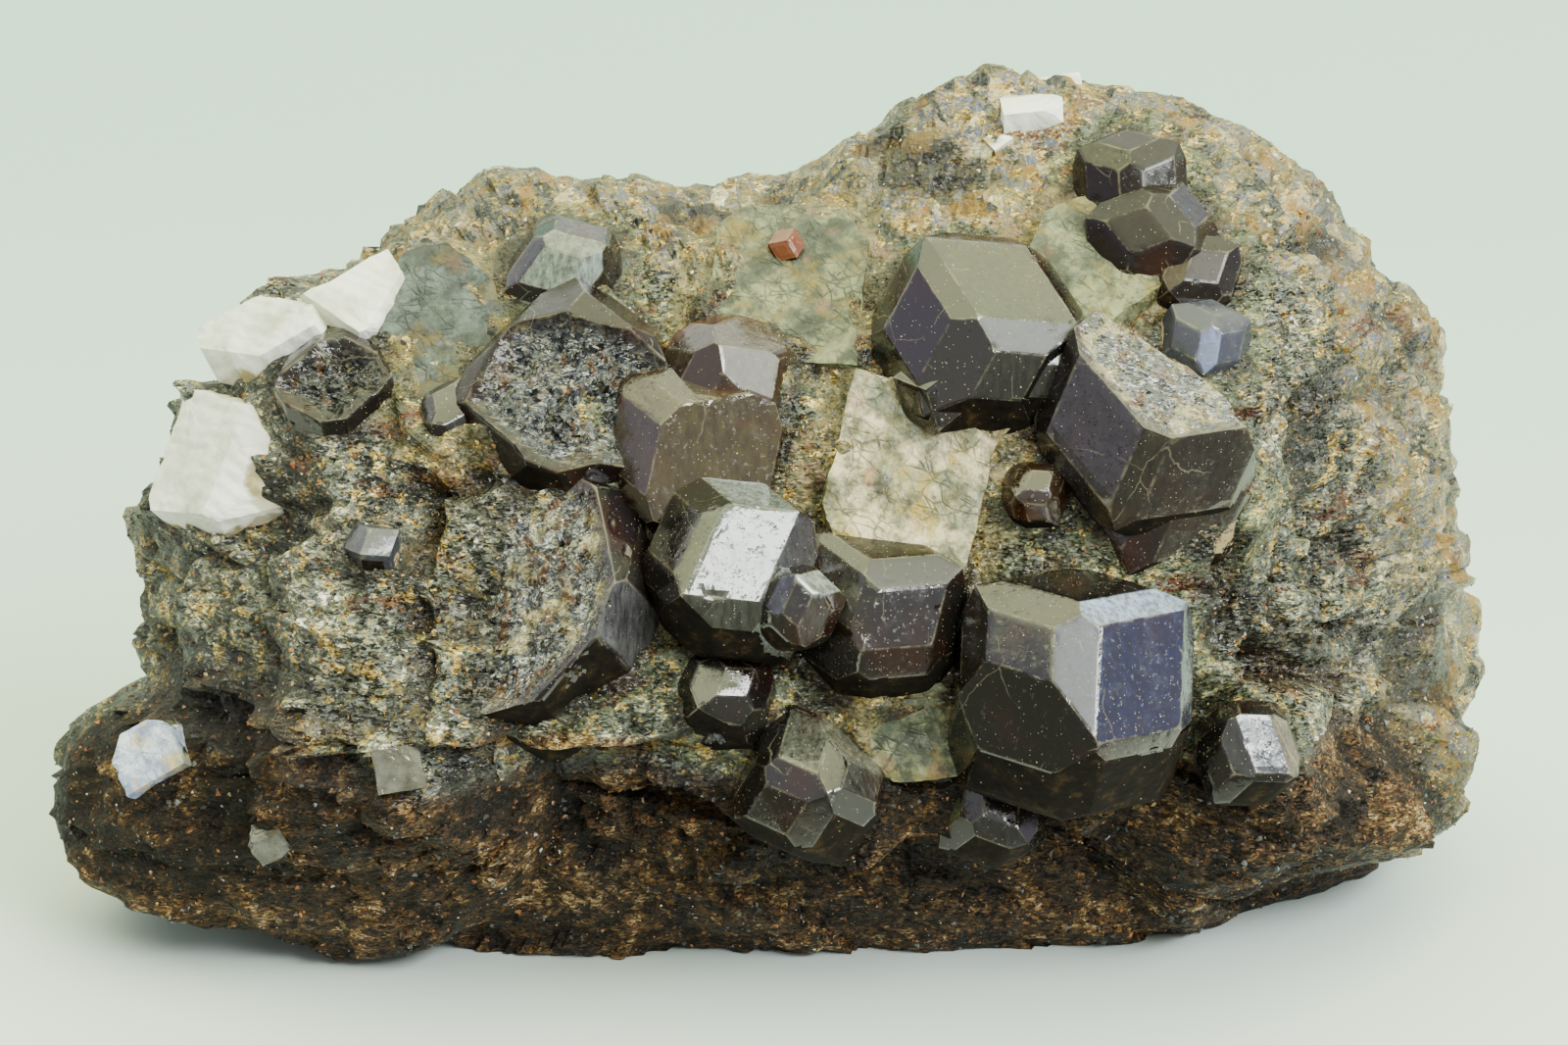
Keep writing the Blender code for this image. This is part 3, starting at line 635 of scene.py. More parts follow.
def cracks(place, scale, low, high):
    """1 on the rims between cells, 0 away from them."""
    apart = node("TexVoronoi", {"feature": "DISTANCE_TO_EDGE"}, Vector=place, Scale=scale).outputs["Distance"]
    return sums("SUBTRACT", 1.0, grade(apart, low, high))


def channels(colour):
    """Red, green and blue of a colour as three numbers."""
    return node("SeparateColor", Color=colour).outputs


def bumped(height, distance, strength):
    """A normal bumped by a height."""
    return node("Bump", Height=height, Distance=distance, Strength=strength).outputs["Normal"]


def leaning(colour, amount, under=None):
    """A normal that leans a random way in each grain, on top of an optional bump."""
    away = node("VectorMath", {"operation": "SUBTRACT"}, i0=colour, i1=(0.5, 0.5, 0.5)).outputs[0]
    under = node("NewGeometry").outputs["Normal"] if under is None else under
    both = node("VectorMath", {"operation": "MULTIPLY_ADD"}, i0=away, i1=(amount,) * 3, i2=under).outputs[0]
    return node("VectorMath", {"operation": "NORMALIZE"}, i0=both).outputs[0]


def between(factor, first, second):
    """Mix of two normals."""
    return node("Mix", {"data_type": "VECTOR"}, i0=factor, i4=first, i5=second).outputs[1]


DARK_TONES = [
    (0.00, (0.003, 0.003, 0.002)), (0.26, (0.014, 0.014, 0.010)), (0.42, (0.048, 0.053, 0.032)),
    (0.55, (0.128, 0.146, 0.090)), (0.65, (0.090, 0.102, 0.150)), (0.76, (0.300, 0.245, 0.075)),
    (0.86, (0.450, 0.490, 0.380)), (0.93, (0.640, 0.540, 0.250)), (1.00, (0.920, 0.940, 0.920))]
WARM_TONES = [
    (0.00, (0.006, 0.006, 0.006)), (0.24, (0.022, 0.025, 0.026)), (0.38, (0.085, 0.094, 0.060)),
    (0.48, (0.290, 0.210, 0.034)), (0.56, (0.066, 0.086, 0.135)), (0.66, (0.100, 0.125, 0.160)),
    (0.75, (0.460, 0.290, 0.040)), (0.86, (0.320, 0.350, 0.270)), (1.00, (0.860, 0.780, 0.460))]
STAIN_TONES = [
    (0.00, (0.002, 0.001, 0.001)), (0.34, (0.011, 0.007, 0.004)), (0.55, (0.034, 0.020, 0.009)),
    (0.72, (0.085, 0.042, 0.013)), (0.86, (0.190, 0.105, 0.034)), (1.00, (0.440, 0.330, 0.170))]
GREEN_TONES = [
    (0.00, (0.006, 0.006, 0.004)), (0.32, (0.034, 0.039, 0.020)), (0.54, (0.118, 0.134, 0.060)),
    (0.70, (0.082, 0.104, 0.098)), (0.82, (0.280, 0.260, 0.075)), (1.00, (0.560, 0.530, 0.240))]
OCHRE_TONES = [
    (0.00, (0.060, 0.034, 0.008)), (0.40, (0.230, 0.145, 0.026)), (0.75, (0.460, 0.330, 0.080)),
    (1.00, (0.740, 0.630, 0.280))]
RUST_TONES = [
    (0.00, (0.010, 0.004, 0.002)), (0.30, (0.060, 0.020, 0.005)), (0.50, (0.180, 0.070, 0.010)),
    (0.70, (0.420, 0.240, 0.030)), (0.88, (0.620, 0.480, 0.160))]

# Patches in feldspar: size, noise level that they begin at, strength and hue.
SPAR_PATCHES = (
    (0.0034, 0.52, 0.80, (0.86, 0.60, 0.10)), (0.0024, 0.57, 0.65, (1.00, 0.48, 0.28)),
    (0.0040, 0.57, 0.60, (0.20, 0.30, 0.24)),
)


def spar_tone(here, dark, base, fresh):
    """Colour of cloudy feldspar and where it is cracked.

    Base and fresh clouds with dark veils; golden, pinkish and greenish patches; dirty smudges; two nets of
    stretched, wavy cleavage cracks."""
    lie = laid(here, (0.4, 0.9, 0.1), (1.0, 1.0, 1.0))
    tone = ramp(cloudy(lie, 0.0026, 6.0, 0.70), [
        (0.33, dark), (0.45, base), (0.56, fresh), (0.72, tuple(1.25 * c for c in fresh))])
    for wave, low, share, hue in SPAR_PATCHES:
        patch = tuple(part * fresh[1] for part in hue)
        tone = cover(tone, patch, cloudy(lie, wave, 5.0, 0.62), low, low + 0.09, share)
    tone = cover(tone, dark, cloudy(lie, 0.0011, 5.0, 0.72), 0.50, 0.62, 0.75)
    wavy = shaken(here, 420.0, 4.0, 0.0011, lie)
    nets = [cracks(laid(wavy, (0.0, 0.0, 0.0), stretch), 560.0, 0.0, 0.065)
            for stretch in ((1.0, 2.6, 1.0), (1.9, 0.6, 1.0))]
    crack = times(most(*nets), grade(cloudy(here, 0.0017, 4.0), 0.40, 0.60))
    return blend(times(crack, 0.80), tone, dark), crack


def rock_finish(name, shine):
    """Splintery dark grains, ochre crumbs and rust veins, paler and warmer on the crest.

    Families of grain colours are mixed by where the rock is stained, weathered or close to the
    garnets, and painted shade darkens the grooves, cracks and crevices beside the garnets. Every splinter
    leans its own way, so some of them glitter."""
    material, shader = plain_material(name, 0.5, 1.62)
    shader.inputs["Specular IOR Level"].default_value = shine
    here = where()
    lie = laid(here, (0.3, 0.55, 0.2), (1.0, 1.5, 2.4))
    splinter, _ = crumbs(lie, 0.00026)
    knot, spot = crumbs(here, 0.00062, 0.0009)
    lump, _ = crumbs(here, 0.00130, 0.0016)
    fine = channels(splinter)
    broad = channels(knot)
    cloud = cloudy(here, 0.0034, 5.0, 0.66)
    pick = plus(times(fine["Red"], 0.52), times(broad["Red"], 0.36))
    swing = swung(pick, cloud, 1.5, 0.47)
    wide_swing = plus(times(swing, 0.45), times(channels(lump)["Red"], 0.58))
    shift = times(sums("SUBTRACT", cloudy(here, 0.0075), 0.5), 1.3)
    warm = cover(ramp(wide_swing, WARM_TONES), (0.240, 0.130, 0.012), cloudy(here, 0.0026), 0.57, 0.63, 0.8)
    warmth = grade(plus(marked("warm"), shift), 0.35, 0.70)
    tone = blend(warmth, ramp(swing, DARK_TONES), warm)
    tone = cover(tone, ramp(swing, GREEN_TONES), plus(marked("green"), shift), 0.45, 0.75)
    spar, _ = spar_tone(here, (0.022, 0.024, 0.013), (0.085, 0.084, 0.040), (0.24, 0.20, 0.09))
    tone = cover(tone, spar, swung(marked("spar"), cloud, 2.0), 0.45, 0.60)
    crumb = plus(cloudy(here, 0.0011, 4.0, 0.6), times(broad["Green"], 0.20))
    tone = cover(tone, ramp(fine["Blue"], OCHRE_TONES), crumb, 0.685, 0.74)
    vein = cloudy(lie, 0.0042, 4.0, 0.6)
    rust = times(grade(vein, 0.585, 0.64), grade(fine["Green"], 0.15, 0.55))
    tone = blend(times(rust, 0.9), tone, (0.075, 0.017, 0.004))
    tone = cover(tone, ramp(pick, RUST_TONES), swung(marked("rusty"), vein, 1.6), 0.55, 0.95, 0.8)
    dirt = plus(marked("stain"), sums("SUBTRACT", cloud, 0.5))
    tone = cover(tone, ramp(swing, STAIN_TONES), dirt, 0.30, 0.60)
    # Painted shade: near black laid into the grooves, cracks and crevices marked deep.
    tone = cover(tone, (0.005, 0.004, 0.003), swung(marked("deep"), cloud, 0.5), 0.25, 0.95, 0.85)
    rough = plus(grade(fine["Green"], 0.0, 1.0, 0.10, 0.60), times(marked("stain"), 0.30))
    bump = bumped(plus(times(spot, 0.5), cloudy(here, 0.0003, 4.0)), 0.00014, 1.0)
    wide = leaning(knot, 0.40, bump)
    keen = between(times(warmth, 0.6), leaning(splinter, 1.0, wide), wide)
    feed(shader, Base_Color=tone, Roughness=rough, Normal=keen)
    return material


def rock_marks(piece, points, relief, rusty):
    """Store the painted shade of grooves and crevices, and how stained, warm, green, near a plate and rusty
    each point of the rock is.
    """
    x, y, z = points.T
    near = outside_pieces(points, GARNET_PLANES)
    # Painted shade, stored as deep: the low grooves and cracks, and the crevices beside the garnets.
    crevice_shade = smooth_step(-near, -1.5, -0.5) * smooth_step(hash_noise(points / 1.6, 34.0), -0.6, 0.2)
    mark(piece, "deep", np.maximum(smooth_step(-relief, -0.15, 0.95), 0.95 * crevice_shade))
    left = 4.0 * smooth_step(-x, 20.0, 33.0)
    low = smooth_step(left - z - 1.2 * hash_noise(points / 6.0, 31.0), -17.0, -14.0)
    under = smooth_step(-z, -5.0, -1.0)
    mark(piece, "stain", np.maximum(low * smooth_step(-y, 2.0, 12.0), under))
    crest = smooth_step(z + 4 * hash_noise(points / 9.0, 32.0) + 0.5 * y, 37.0, 46.0)
    right = smooth_step(x + 4 * hash_noise(points / 9.0, 33.0) + 0.5 * y, 28.0, 38.0)
    back = smooth_step(y, 4.0, 12.0)
    mark(piece, "warm", np.maximum(np.maximum(crest, 0.62 * right), back) + 0.08)
    mark(piece, "green", (1.0 - smooth_step(near, 0.5, 3.0)) * smooth_step(x, -17.0, -9.0))
    plates = outside_pieces(points, BLOCK_PLANES, True)
    mark(piece, "spar", 1.0 - smooth_step(plates, -0.5, 4.6))
    mark(piece, "rusty", rusty)


GARNET_PLANES = [(np.array(GARNETS[key][0]),) + garnet_planes(key)[:2] for key in GARNETS]
BLOCK_PLANES = [block_planes(name) for name in BLOCKS if name.startswith("plate")]
STAIN_HEIGHT = 15.0                        # below this the rock's finish is less shiny
directions, quads = box_directions(ROCK_CELLS)
rock_places, rock_relief, rock_rust = rock_surface(directions)
rock = bare_piece("rock", (rock_places - SHIFT) * MM, quads)
rock_marks(rock, rock_places, rock_relief, rock_rust)
for paint in (rock_finish("rock", 0.36), rock_finish("stained_rock", 0.16)):
    rock.data.materials.append(paint)
low_faces = (rock_places[quads].mean(axis=1)[:, 2] < STAIN_HEIGHT).astype(np.int32)
rock.data.polygons.foreach_set("material_index", low_faces)
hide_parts("matrix")
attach(rock, "root")

# ---------------------------------------------------------------- garnet crystals
# Garnet grows as near-round crystals with 12 rhomb faces, their edges cut by 24 kite faces.
# These are nearly black, glassy and sharp-edged, some grown into each other, with dust on the
# faces and a yellow crust where the rock grips them.


def face_corners(normals, distances, index):
    """Corners of one face of a solid: a wide square on its plane, cut by every other plane."""
    normal = normals[index]
    side = np.cross(normal, (0.3, 0.5, 0.8) if abs(normal[0]) > 0.5 else (1.0, 0.2, 0.1))
    side /= np.linalg.norm(side)
    other = np.cross(normal, side)
    size = 6 * distances.max()
    corners = [normal * distances[index] + size * (a * side + b * other)
               for a, b in ((-1, -1), (1, -1), (1, 1), (-1, 1))]
    for number, (away, limit) in enumerate(zip(normals, distances)):
        if number == index or not corners:
            continue
        depth = [limit - away @ corner for corner in corners]
        cut = []
        for k, corner in enumerate(corners):
            following = (k + 1) % len(corners)
            if depth[k] >= 0:
                cut.append(corner)
            if (depth[k] > 0) != (depth[following] > 0) and abs(depth[k] - depth[following]) > 1e-12:
                share = depth[k] / (depth[k] - depth[following])
                cut.append(corner + share * (corners[following] - corner))
        corners = cut
    kept = [c for k, c in enumerate(corners) if np.linalg.norm(c - corners[k - 1]) > 1e-6]
    return np.array(kept) if len(kept) > 2 else None


def cut_solid(normals, distances, cell):
    """Points, quads and face number of a solid bounded by planes, its faces split into fine quads.

    Each face is shared out between its corners: a four-sided patch runs from the corner by the
    middles of its two edges to the face's middle, and is a grid that blends its four corners."""
    points = []
    quads = []
    owner = []
    count = 0
    steps = max(2, int(round(1.15 * distances.min() / cell / 2)))
    u, v = np.meshgrid(np.linspace(0, 1, steps + 1), np.linspace(0, 1, steps + 1), indexing="ij")
    u, v = u.ravel()[:, None], v.ravel()[:, None]
    for index in range(len(normals)):
        corners = face_corners(normals, distances, index)
        if corners is None:
            continue
        middle = corners.mean(axis=0)
        for k in range(len(corners)):
            before = (corners[k] + corners[k - 1]) / 2
            after = (corners[k] + corners[(k + 1) % len(corners)]) / 2
            patch = (1 - u) * ((1 - v) * corners[k] + v * before) + u * ((1 - v) * after + v * middle)
            points.append(patch)
            quads.append(grid_faces(steps + 1, steps + 1) + count)
            owner.append(np.full(len(patch), index))
            count += len(patch)
    points = np.concatenate(points)
    quads = np.concatenate(quads)
    owner = np.concatenate(owner)
    _, first, number = np.unique(np.round(points, 4), axis=0, return_index=True, return_inverse=True)
    number = number.ravel()
    quads = number[quads]
    points = points[first]
    side = np.cross(points[quads[:, 2]] - points[quads[:, 0]], points[quads[:, 3]] - points[quads[:, 1]])
    wrong = (side * points[quads].mean(axis=1)).sum(axis=1) < 0
    quads[wrong] = quads[wrong][:, ::-1]
    return points, quads, owner[first]


def worn_solid(middle, normals, distances, broken, cell, seed, chip=0.10, rough=((0.9, 0.30), (0.45, 0.14))):
    """A solid cut by planes, with chipped, slightly rounded edges and grainy broken faces.

    The clearance to every plane tells how near an edge a point is: chips and rounding fade with
    it, and the grainy relief fades out where a broken face meets a whole one."""
    points, quads, owner = cut_solid(normals, distances, cell)
    inward = -points / np.linalg.norm(points, axis=1)[:, None]
    apart = distances[None, :] - points @ normals.T
    edge = np.sort(apart, axis=1)[:, 1]
    place = points + middle
    chips = hash_noise(place / 1.1, seed) * 0.7 + hash_noise(place / 0.45, seed + 1) * 0.45
    chips = np.clip(chips - 0.30, 0, 1)
    sink = chip * 4.0 * chips * chips * np.exp(-edge / 0.30) + 0.03 * np.exp(-edge / 0.08)
    fade = np.zeros(len(points))
    if broken:
        whole = apart[:, :-broken].min(axis=1)
        damaged = apart[:, -broken:].min(axis=1) < 0.02
        fade = np.where(damaged, smooth_step(whole, -0.05, 0.5), 0.0)
        for size, height in rough:
            sink = sink + fade * height * (0.6 - broken_grains(place, size, seed + 3))
    return place + inward * sink[:, None], quads, edge, fade, owner


def grip(points):
    """How near each point is to the rock's surface, 1 where the rock grips it, 0 from 0.9 mm out."""
    away = points - ROCK_HEART
    length = np.linalg.norm(away, axis=1)
    height = length - rock_form(away / length[:, None])
    return 1 - smooth_step(height, 0.1, 1.0)


EDGE_REACH = 0.25                          # how far the painted edge highlight on the garnets reaches from an edge, in millimetres
LOOKS_DOWN = -0.36                         # faces whose normal's Z is below this get painted shade

# Painted light on single faces: a colour laid over the face, pale for a painted reflection and dark
# for painted shade. The face in the crystal's own axes, or the number of a break, then red, green, blue and
# strength.
PAINTED_FACE_LIGHT = {
    "front_right": (((1, -1, 0), 0.006, 0.011, 0.04, 0.9), ((2, -1, 1), 0.28, 0.36, 0.52, 0.9),
        ((1, -2, 1), 0.02, 0.024, 0.06, 1.0), ((2, -1, -1), 0.04, 0.045, 0.065, 0.8),
        ((0, -1, 1), 0.022, 0.022, 0.035, 0.4), ((1, -2, -1), 0.03, 0.03, 0.028, 0.5)),
    "front_small": (((1, -1, 0), 0.1, 0.12, 0.17, 0.5), ((2, -1, 1), 0.04, 0.04, 0.042, 0.5),
        ((1, -2, -1), 0.24, 0.2, 0.11, 0.6)),
    "upper": (((1, -2, 1), 0.006, 0.007, 0.006, 1.0), ((1, 0, 1), 0.016, 0.005, 0.012, 0.5),
        ((0, -1, 1), 0.036, 0.036, 0.03, 0.6), ((1, -1, 0), 0.05, 0.055, 0.03, 0.5)),
    "upper_step": (((2, -1, 1), 0.06, 0.068, 0.06, 1.0), ((1, -2, 1), 0.11, 0.125, 0.12, 0.9),
        ((0, -1, 1), 0.04, 0.042, 0.034, 0.6), ((1, -1, 0), 0.1, 0.11, 0.09, 0.8)),
    "right": (((1, 0, -1), 0.032, 0.026, 0.018, 0.6), ((1, 1, 0), 0.034, 0.03, 0.026, 0.5),
        ((2, 1, -1), 0.036, 0.032, 0.02, 0.6)),
    "right_low": (((1, 0, -1), 0.04, 0.03, 0.018, 0.7), ((-1, 1, -2), 0.16, 0.17, 0.14, 0.7),
        (0, 0.16, 0.17, 0.14, 0.7)),
    "centre": (((1, -1, 0), 0.16, 0.22, 0.19, 0.35), ((1, -2, 1), 0.06, 0.066, 0.056, 0.6),
        ((2, -1, 1), 0.055, 0.058, 0.046, 0.8), ((0, -1, -1), 0.22, 0.27, 0.24, 0.6),
        ((2, -1, -1), 0.06, 0.07, 0.035, 0.4)),
    "centre_corner": (((1, 2, -1), 0.05, 0.05, 0.09, 0.7), ((-1, 1, 0), 0.3, 0.34, 0.34, 0.8),
        ((-1, 2, -1), 0.3, 0.34, 0.34, 0.8), ((-1, 1, -2), 0.055, 0.052, 0.046, 0.7),
        ((1, 1, -2), 0.03, 0.026, 0.02, 0.6)),
    "centre_black": (((-2, -1, -1), 0.004, 0.003, 0.002, 1.0), ((-1, -1, 0), 0.004, 0.003, 0.002, 0.8),
        ((0, -1, -1), 0.05, 0.052, 0.044, 0.6), ((1, -2, -1), 0.026, 0.022, 0.016, 0.6)),
    "centre_round": (((2, -1, -1), 0.02, 0.02, 0.018, 0.8),),
    "brown": (((1, -1, 2), 0.07, 0.06, 0.04, 1.0), ((1, 1, 2), 0.1, 0.085, 0.06, 0.7),
        ((-1, -1, 2), 0.03, 0.014, 0.006, 0.6), ((2, -1, 1), 0.03, 0.02, 0.012, 0.9)),
    "brown_low": (((1, -1, 0), 0.052, 0.042, 0.012, 0.8), ((1, 0, -1), 0.03, 0.02, 0.01, 0.8),
        ((0, -1, 1), 0.045, 0.042, 0.034, 0.6)),
    "low": (((1, 0, 1), 0.12, 0.13, 0.1, 0.7), ((1, -2, 1), 0.16, 0.17, 0.13, 0.7),
        ((0, -1, 1), 0.065, 0.065, 0.06, 0.8), ((-1, -1, 2), 0.01, 0.008, 0.005, 1.0)),
    "ledge": (((-1, 0, 1), 0.12, 0.15, 0.07, 0.8), ((1, -1, 2), 0.004, 0.003, 0.002, 1.0),
        ((-1, -2, 1), 0.04, 0.042, 0.042, 0.7), ((-2, -1, 1), 0.01, 0.008, 0.005, 1.0)),
    "pale": (((1, 1, 0), 0.24, 0.3, 0.24, 0.8), ((1, 2, -1), 0.34, 0.42, 0.38, 0.8),
        ((1, 1, -2), 0.1, 0.11, 0.1, 0.8), ((2, 1, 1), 0.03, 0.03, 0.05, 0.8),
        ((1, 2, 1), 0.24, 0.28, 0.24, 0.7)),
    "left_mass": (((1, -1, 2), 0.12, 0.12, 0.13, 0.7), ((1, 0, 1), 0.03, 0.026, 0.022, 0.6)),
    "top_right": (((-2, -1, 1), 0.05, 0.052, 0.03, 0.6), ((0, -1, 1), 0.03, 0.03, 0.026, 0.8),
        ((-1, -1, 2), 0.02, 0.02, 0.018, 1.0)),
    "top_right_mid": (((-1, 0, -1), 0.014, 0.01, 0.007, 1.0), ((-1, -1, -2), 0.014, 0.011, 0.01, 1.0),
        ((-2, -1, -1), 0.02, 0.02, 0.014, 1.0), ((0, -1, -1), 0.03, 0.03, 0.05, 1.0)),
    "top_right_low": (((-2, 1, 1), 0.05, 0.032, 0.014, 1.0), ((-1, 0, 1), 0.03, 0.02, 0.012, 1.0)),
    "blue": (((-1, -2, 1), 0.04, 0.07, 0.2, 1.0), ((-2, -1, 1), 0.02, 0.025, 0.04, 1.0)),
}


def crystal_group(name, keys, cell=0.32, **wear):
    """One piece made of crystals that grew into each other, with its wear and its faces' painted light stored
    for the paint.
    """
    places, faces, edges, damage, face_lights = [], [], [], [], []
    count = 0
    for number, key in enumerate(keys):
        normals, distances, broken, names = garnet_planes(key)
        points, quads, edge, broken_part, owner = worn_solid(
            np.array(GARNETS[key][0]), normals, distances, broken, cell, 40 + 7 * number + len(key), **wear)
        # Listed faces get their painted light: a pale colour is a painted reflection, a dark one painted
        # shade.
        face_light = np.zeros((len(points), 4))
        for row in PAINTED_FACE_LIGHT.get(key, ()):
            face_light[owner == names.index(row[0])] = row[1:]
        face_lights.append(face_light)
        places.append(points)
        faces.append(quads + count)
        edges.append(edge)
        damage.append(broken_part)
        count += len(points)
    points = np.concatenate(places)
    piece = bare_piece(name, (points - SHIFT) * MM, np.concatenate(faces))
    mark(piece, "edge", np.exp(-np.concatenate(edges) / EDGE_REACH))
    mark(piece, "broken", np.concatenate(damage))
    face_light_of = piece.data.attributes.new("face_light", "FLOAT_COLOR", "POINT").data
    face_light_of.foreach_set("color", np.concatenate(face_lights).ravel())
    mark(piece, "grip", grip(points))
    return piece


def dusting(here, size, share, core):
    """1 on scattered specks: the cores of a random share of cells."""
    cells = node("TexVoronoi", Vector=here, Scale=1.0 / size).outputs
    drawn = channels(cells["Color"])["Red"]
    return times(sums("LESS_THAN", cells["Distance"], core), sums("LESS_THAN", drawn, share))


# Tones of the grains on a broken garnet face.
BREAK_TONES = [
    (0.00, (0.014, 0.015, 0.018)), (0.40, (0.042, 0.050, 0.058)), (0.72, (0.100, 0.114, 0.130)),
    (0.88, (0.18, 0.155, 0.075)), (1.00, (0.42, 0.44, 0.41))]


def garnet_finish(name, body, deep, gloss, dust, weathered=0.0, stained=0.0, shine=0.5):
    """Glassy dark garnet: deep colour clouds, pits, hairline cracks, dust, a crust, and painted light:
    painted reflections and painted shade on single faces, and a painted highlight along the edges.

    Broken faces are grainy: weathered ones are lighter with more cream and rusty patches, and
    stained ones darker. A face whose painted light has full strength is dull as well."""
    material, shader = plain_material(name, gloss, 1.80)
    shader.inputs["Specular IOR Level"].default_value = shine
    here = where()
    streak = laid(here, (0.3, 0.2, 0.0), (3.0, 3.0, 0.7))
    face_light = node("Attribute", {"attribute_name": "face_light"}).outputs
    mottle = grade(cloudy(streak, 0.0011, 5.0, 0.7), 0.38, 0.62, 0.25, 1.0)
    tone = cover(body, deep, cloudy(here, 0.0043), 0.50, 0.72)
    # Painted reflections and painted shade of single faces, laid over the body colour.
    tone = blend(times(face_light["Alpha"], mottle), tone, face_light["Color"])
    grain, _ = crumbs(laid(here, (0.2, 0.5, 0.6), (0.5, 1.5, 1.0)), 0.00016)
    fine = channels(grain)
    lift = 1.0 + 0.5 * weathered
    broken = ramp(fine["Red"], [(place, tuple(lift * c for c in colour)) for place, colour in BREAK_TONES])
    broken = blend(0.75 * stained, broken, (0.010, 0.012, 0.008))
    broken = cover(broken, (0.008, 0.007, 0.006), cloudy(streak, 0.0013, 5.0, 0.7), 0.50, 0.36)
    low = 0.62 - 0.10 * weathered
    broken = cover(broken, (0.42, 0.36, 0.18), cloudy(here, 0.0021, 5.0, 0.65), low, low + 0.06, 0.75)
    low = 0.59 - 0.05 * weathered
    broken = cover(broken, (0.090, 0.036, 0.006), cloudy(streak, 0.0029, 5.0, 0.65), low, low + 0.05, 0.85)
    damage = marked("broken")
    tone = blend(damage, tone, broken)
    veil = cloudy(here, 0.0011, 4.0, 0.65)
    crusted = grade(swung(marked("grip"), veil, 2.6), 0.85, 0.98)
    tone = blend(crusted, tone, blend(fine["Green"], (0.30, 0.21, 0.08), (0.42, 0.32, 0.15)))
    specks = most(dusting(here, 0.00022, dust, 0.12), dusting(here, 0.00080, dust * 0.6, 0.06))
    tone = blend(specks, tone, (0.52, 0.48, 0.34))
    hair = cracks(shaken(here, 260.0, 4.0, 0.0024), 150.0, 0.001, 0.006)
    hair = times(times(hair, grade(cloudy(here, 0.0030), 0.52, 0.60)), 0.40)
    # Pale hairline cracks, and a painted highlight along the edges.
    edge_highlight = times(times(grade(marked("edge"), 0.80, 0.98), grade(veil, 0.46, 0.62)), 0.35)
    tone = blend(most(hair, edge_highlight), tone, (0.30, 0.27, 0.17))
    rough = grade(cloudy(here, 0.0016, 6.0, 0.72), 0.40, 0.68, gloss, gloss + 0.22)
    pits = grade(cloudy(here, 0.00032, 3.0, 0.6), 0.60, 0.66)
    dull = most(crusted, specks, times(damage, 0.30), times(pits, 0.55),
                times(grade(face_light["Alpha"], 0.92, 0.98), 0.62))
    waves = times(cloudy(here, 0.0030, 2.0), 1.2)
    bump = bumped(plus(waves, times(cloudy(here, 0.00030), 0.16), plus(crusted, specks)), 0.00005, 0.6)
    etched = times(grade(cloudy(here, 0.0007, 5.0, 0.75), 0.47, 0.60), 0.5)
    whole = between(etched, bump, leaning(grain, 0.30, bump))
    flake, _ = crumbs(here, 0.00055, 0.0008)
    normal = between(damage, whole, leaning(grain, 1.1, leaning(flake, 0.8)))
    feed(shader, Base_Color=tone, Roughness=most(rough, times(dull, 0.85)), Normal=normal)
    return material


def dusty_shade_finish():
    """Painted shade on the faces that look down: dull brown-black, with dust specks."""
    material, shader = plain_material("dusty_shade", 0.8)
    shader.inputs["Specular IOR Level"].default_value = 0.12
    here = where()
    tone = ramp(cloudy(here, 0.0012, 5.0, 0.7), [
        (0.35, (0.004, 0.003, 0.002)), (0.55, (0.014, 0.010, 0.006)), (0.70, (0.070, 0.042, 0.014))])
    tone = blend(dusting(here, 0.00040, 0.3, 0.12), tone, (0.45, 0.40, 0.28))
    feed(shader, Base_Color=tone, Normal=bumped(cloudy(here, 0.0006, 4.0), 0.0001, 0.6))
    return material


DEEP_RED = (0.022, 0.006, 0.003)
dusty_shade = dusty_shade_finish()
dark_garnet = garnet_finish("dark_garnet", (0.006, 0.005, 0.004), DEEP_RED, 0.05, 0.42)
brown_garnet = garnet_finish("brown_garnet", (0.018, 0.009, 0.004), (0.060, 0.018, 0.005), 0.05, 0.35)
worn_garnet = garnet_finish("worn_garnet", (0.008, 0.006, 0.007), DEEP_RED, 0.07, 0.30, weathered=1.0)
lump_garnet = garnet_finish("lump_garnet", (0.008, 0.006, 0.005), DEEP_RED, 0.07, 0.30, stained=1.0,
                            shine=0.25)
dim_garnet = garnet_finish("dim_garnet", (0.008, 0.005, 0.004), (0.026, 0.008, 0.003), 0.12, 0.30, shine=0.22)
# The pale blue-grey body of sheen_garnet is a painted sheen: it stands in for the bluish light these small
# crystals reflect.
sheen_garnet = garnet_finish("sheen_garnet", (0.030, 0.033, 0.048), (0.014, 0.013, 0.020), 0.14, 0.12)
red_garnet = garnet_finish("red_garnet", (0.150, 0.040, 0.006), (0.050, 0.008, 0.003), 0.10, 0.08)


def coat_crystal(crystal, paint):
    """Garnet on all faces; on those that look steeply down, painted shade with dust specks."""
    crystal.data.materials.append(paint)
    crystal.data.materials.append(dusty_shade)
    down = np.zeros(len(crystal.data.polygons) * 3, np.float32)
    crystal.data.polygons.foreach_get("normal", down)
    # Faces that look steeply down are painted with shade.
    down_shaded = (down.reshape(-1, 3)[:, 2] < LOOKS_DOWN).astype(np.int32)
    crystal.data.polygons.foreach_set("material_index", down_shaded)


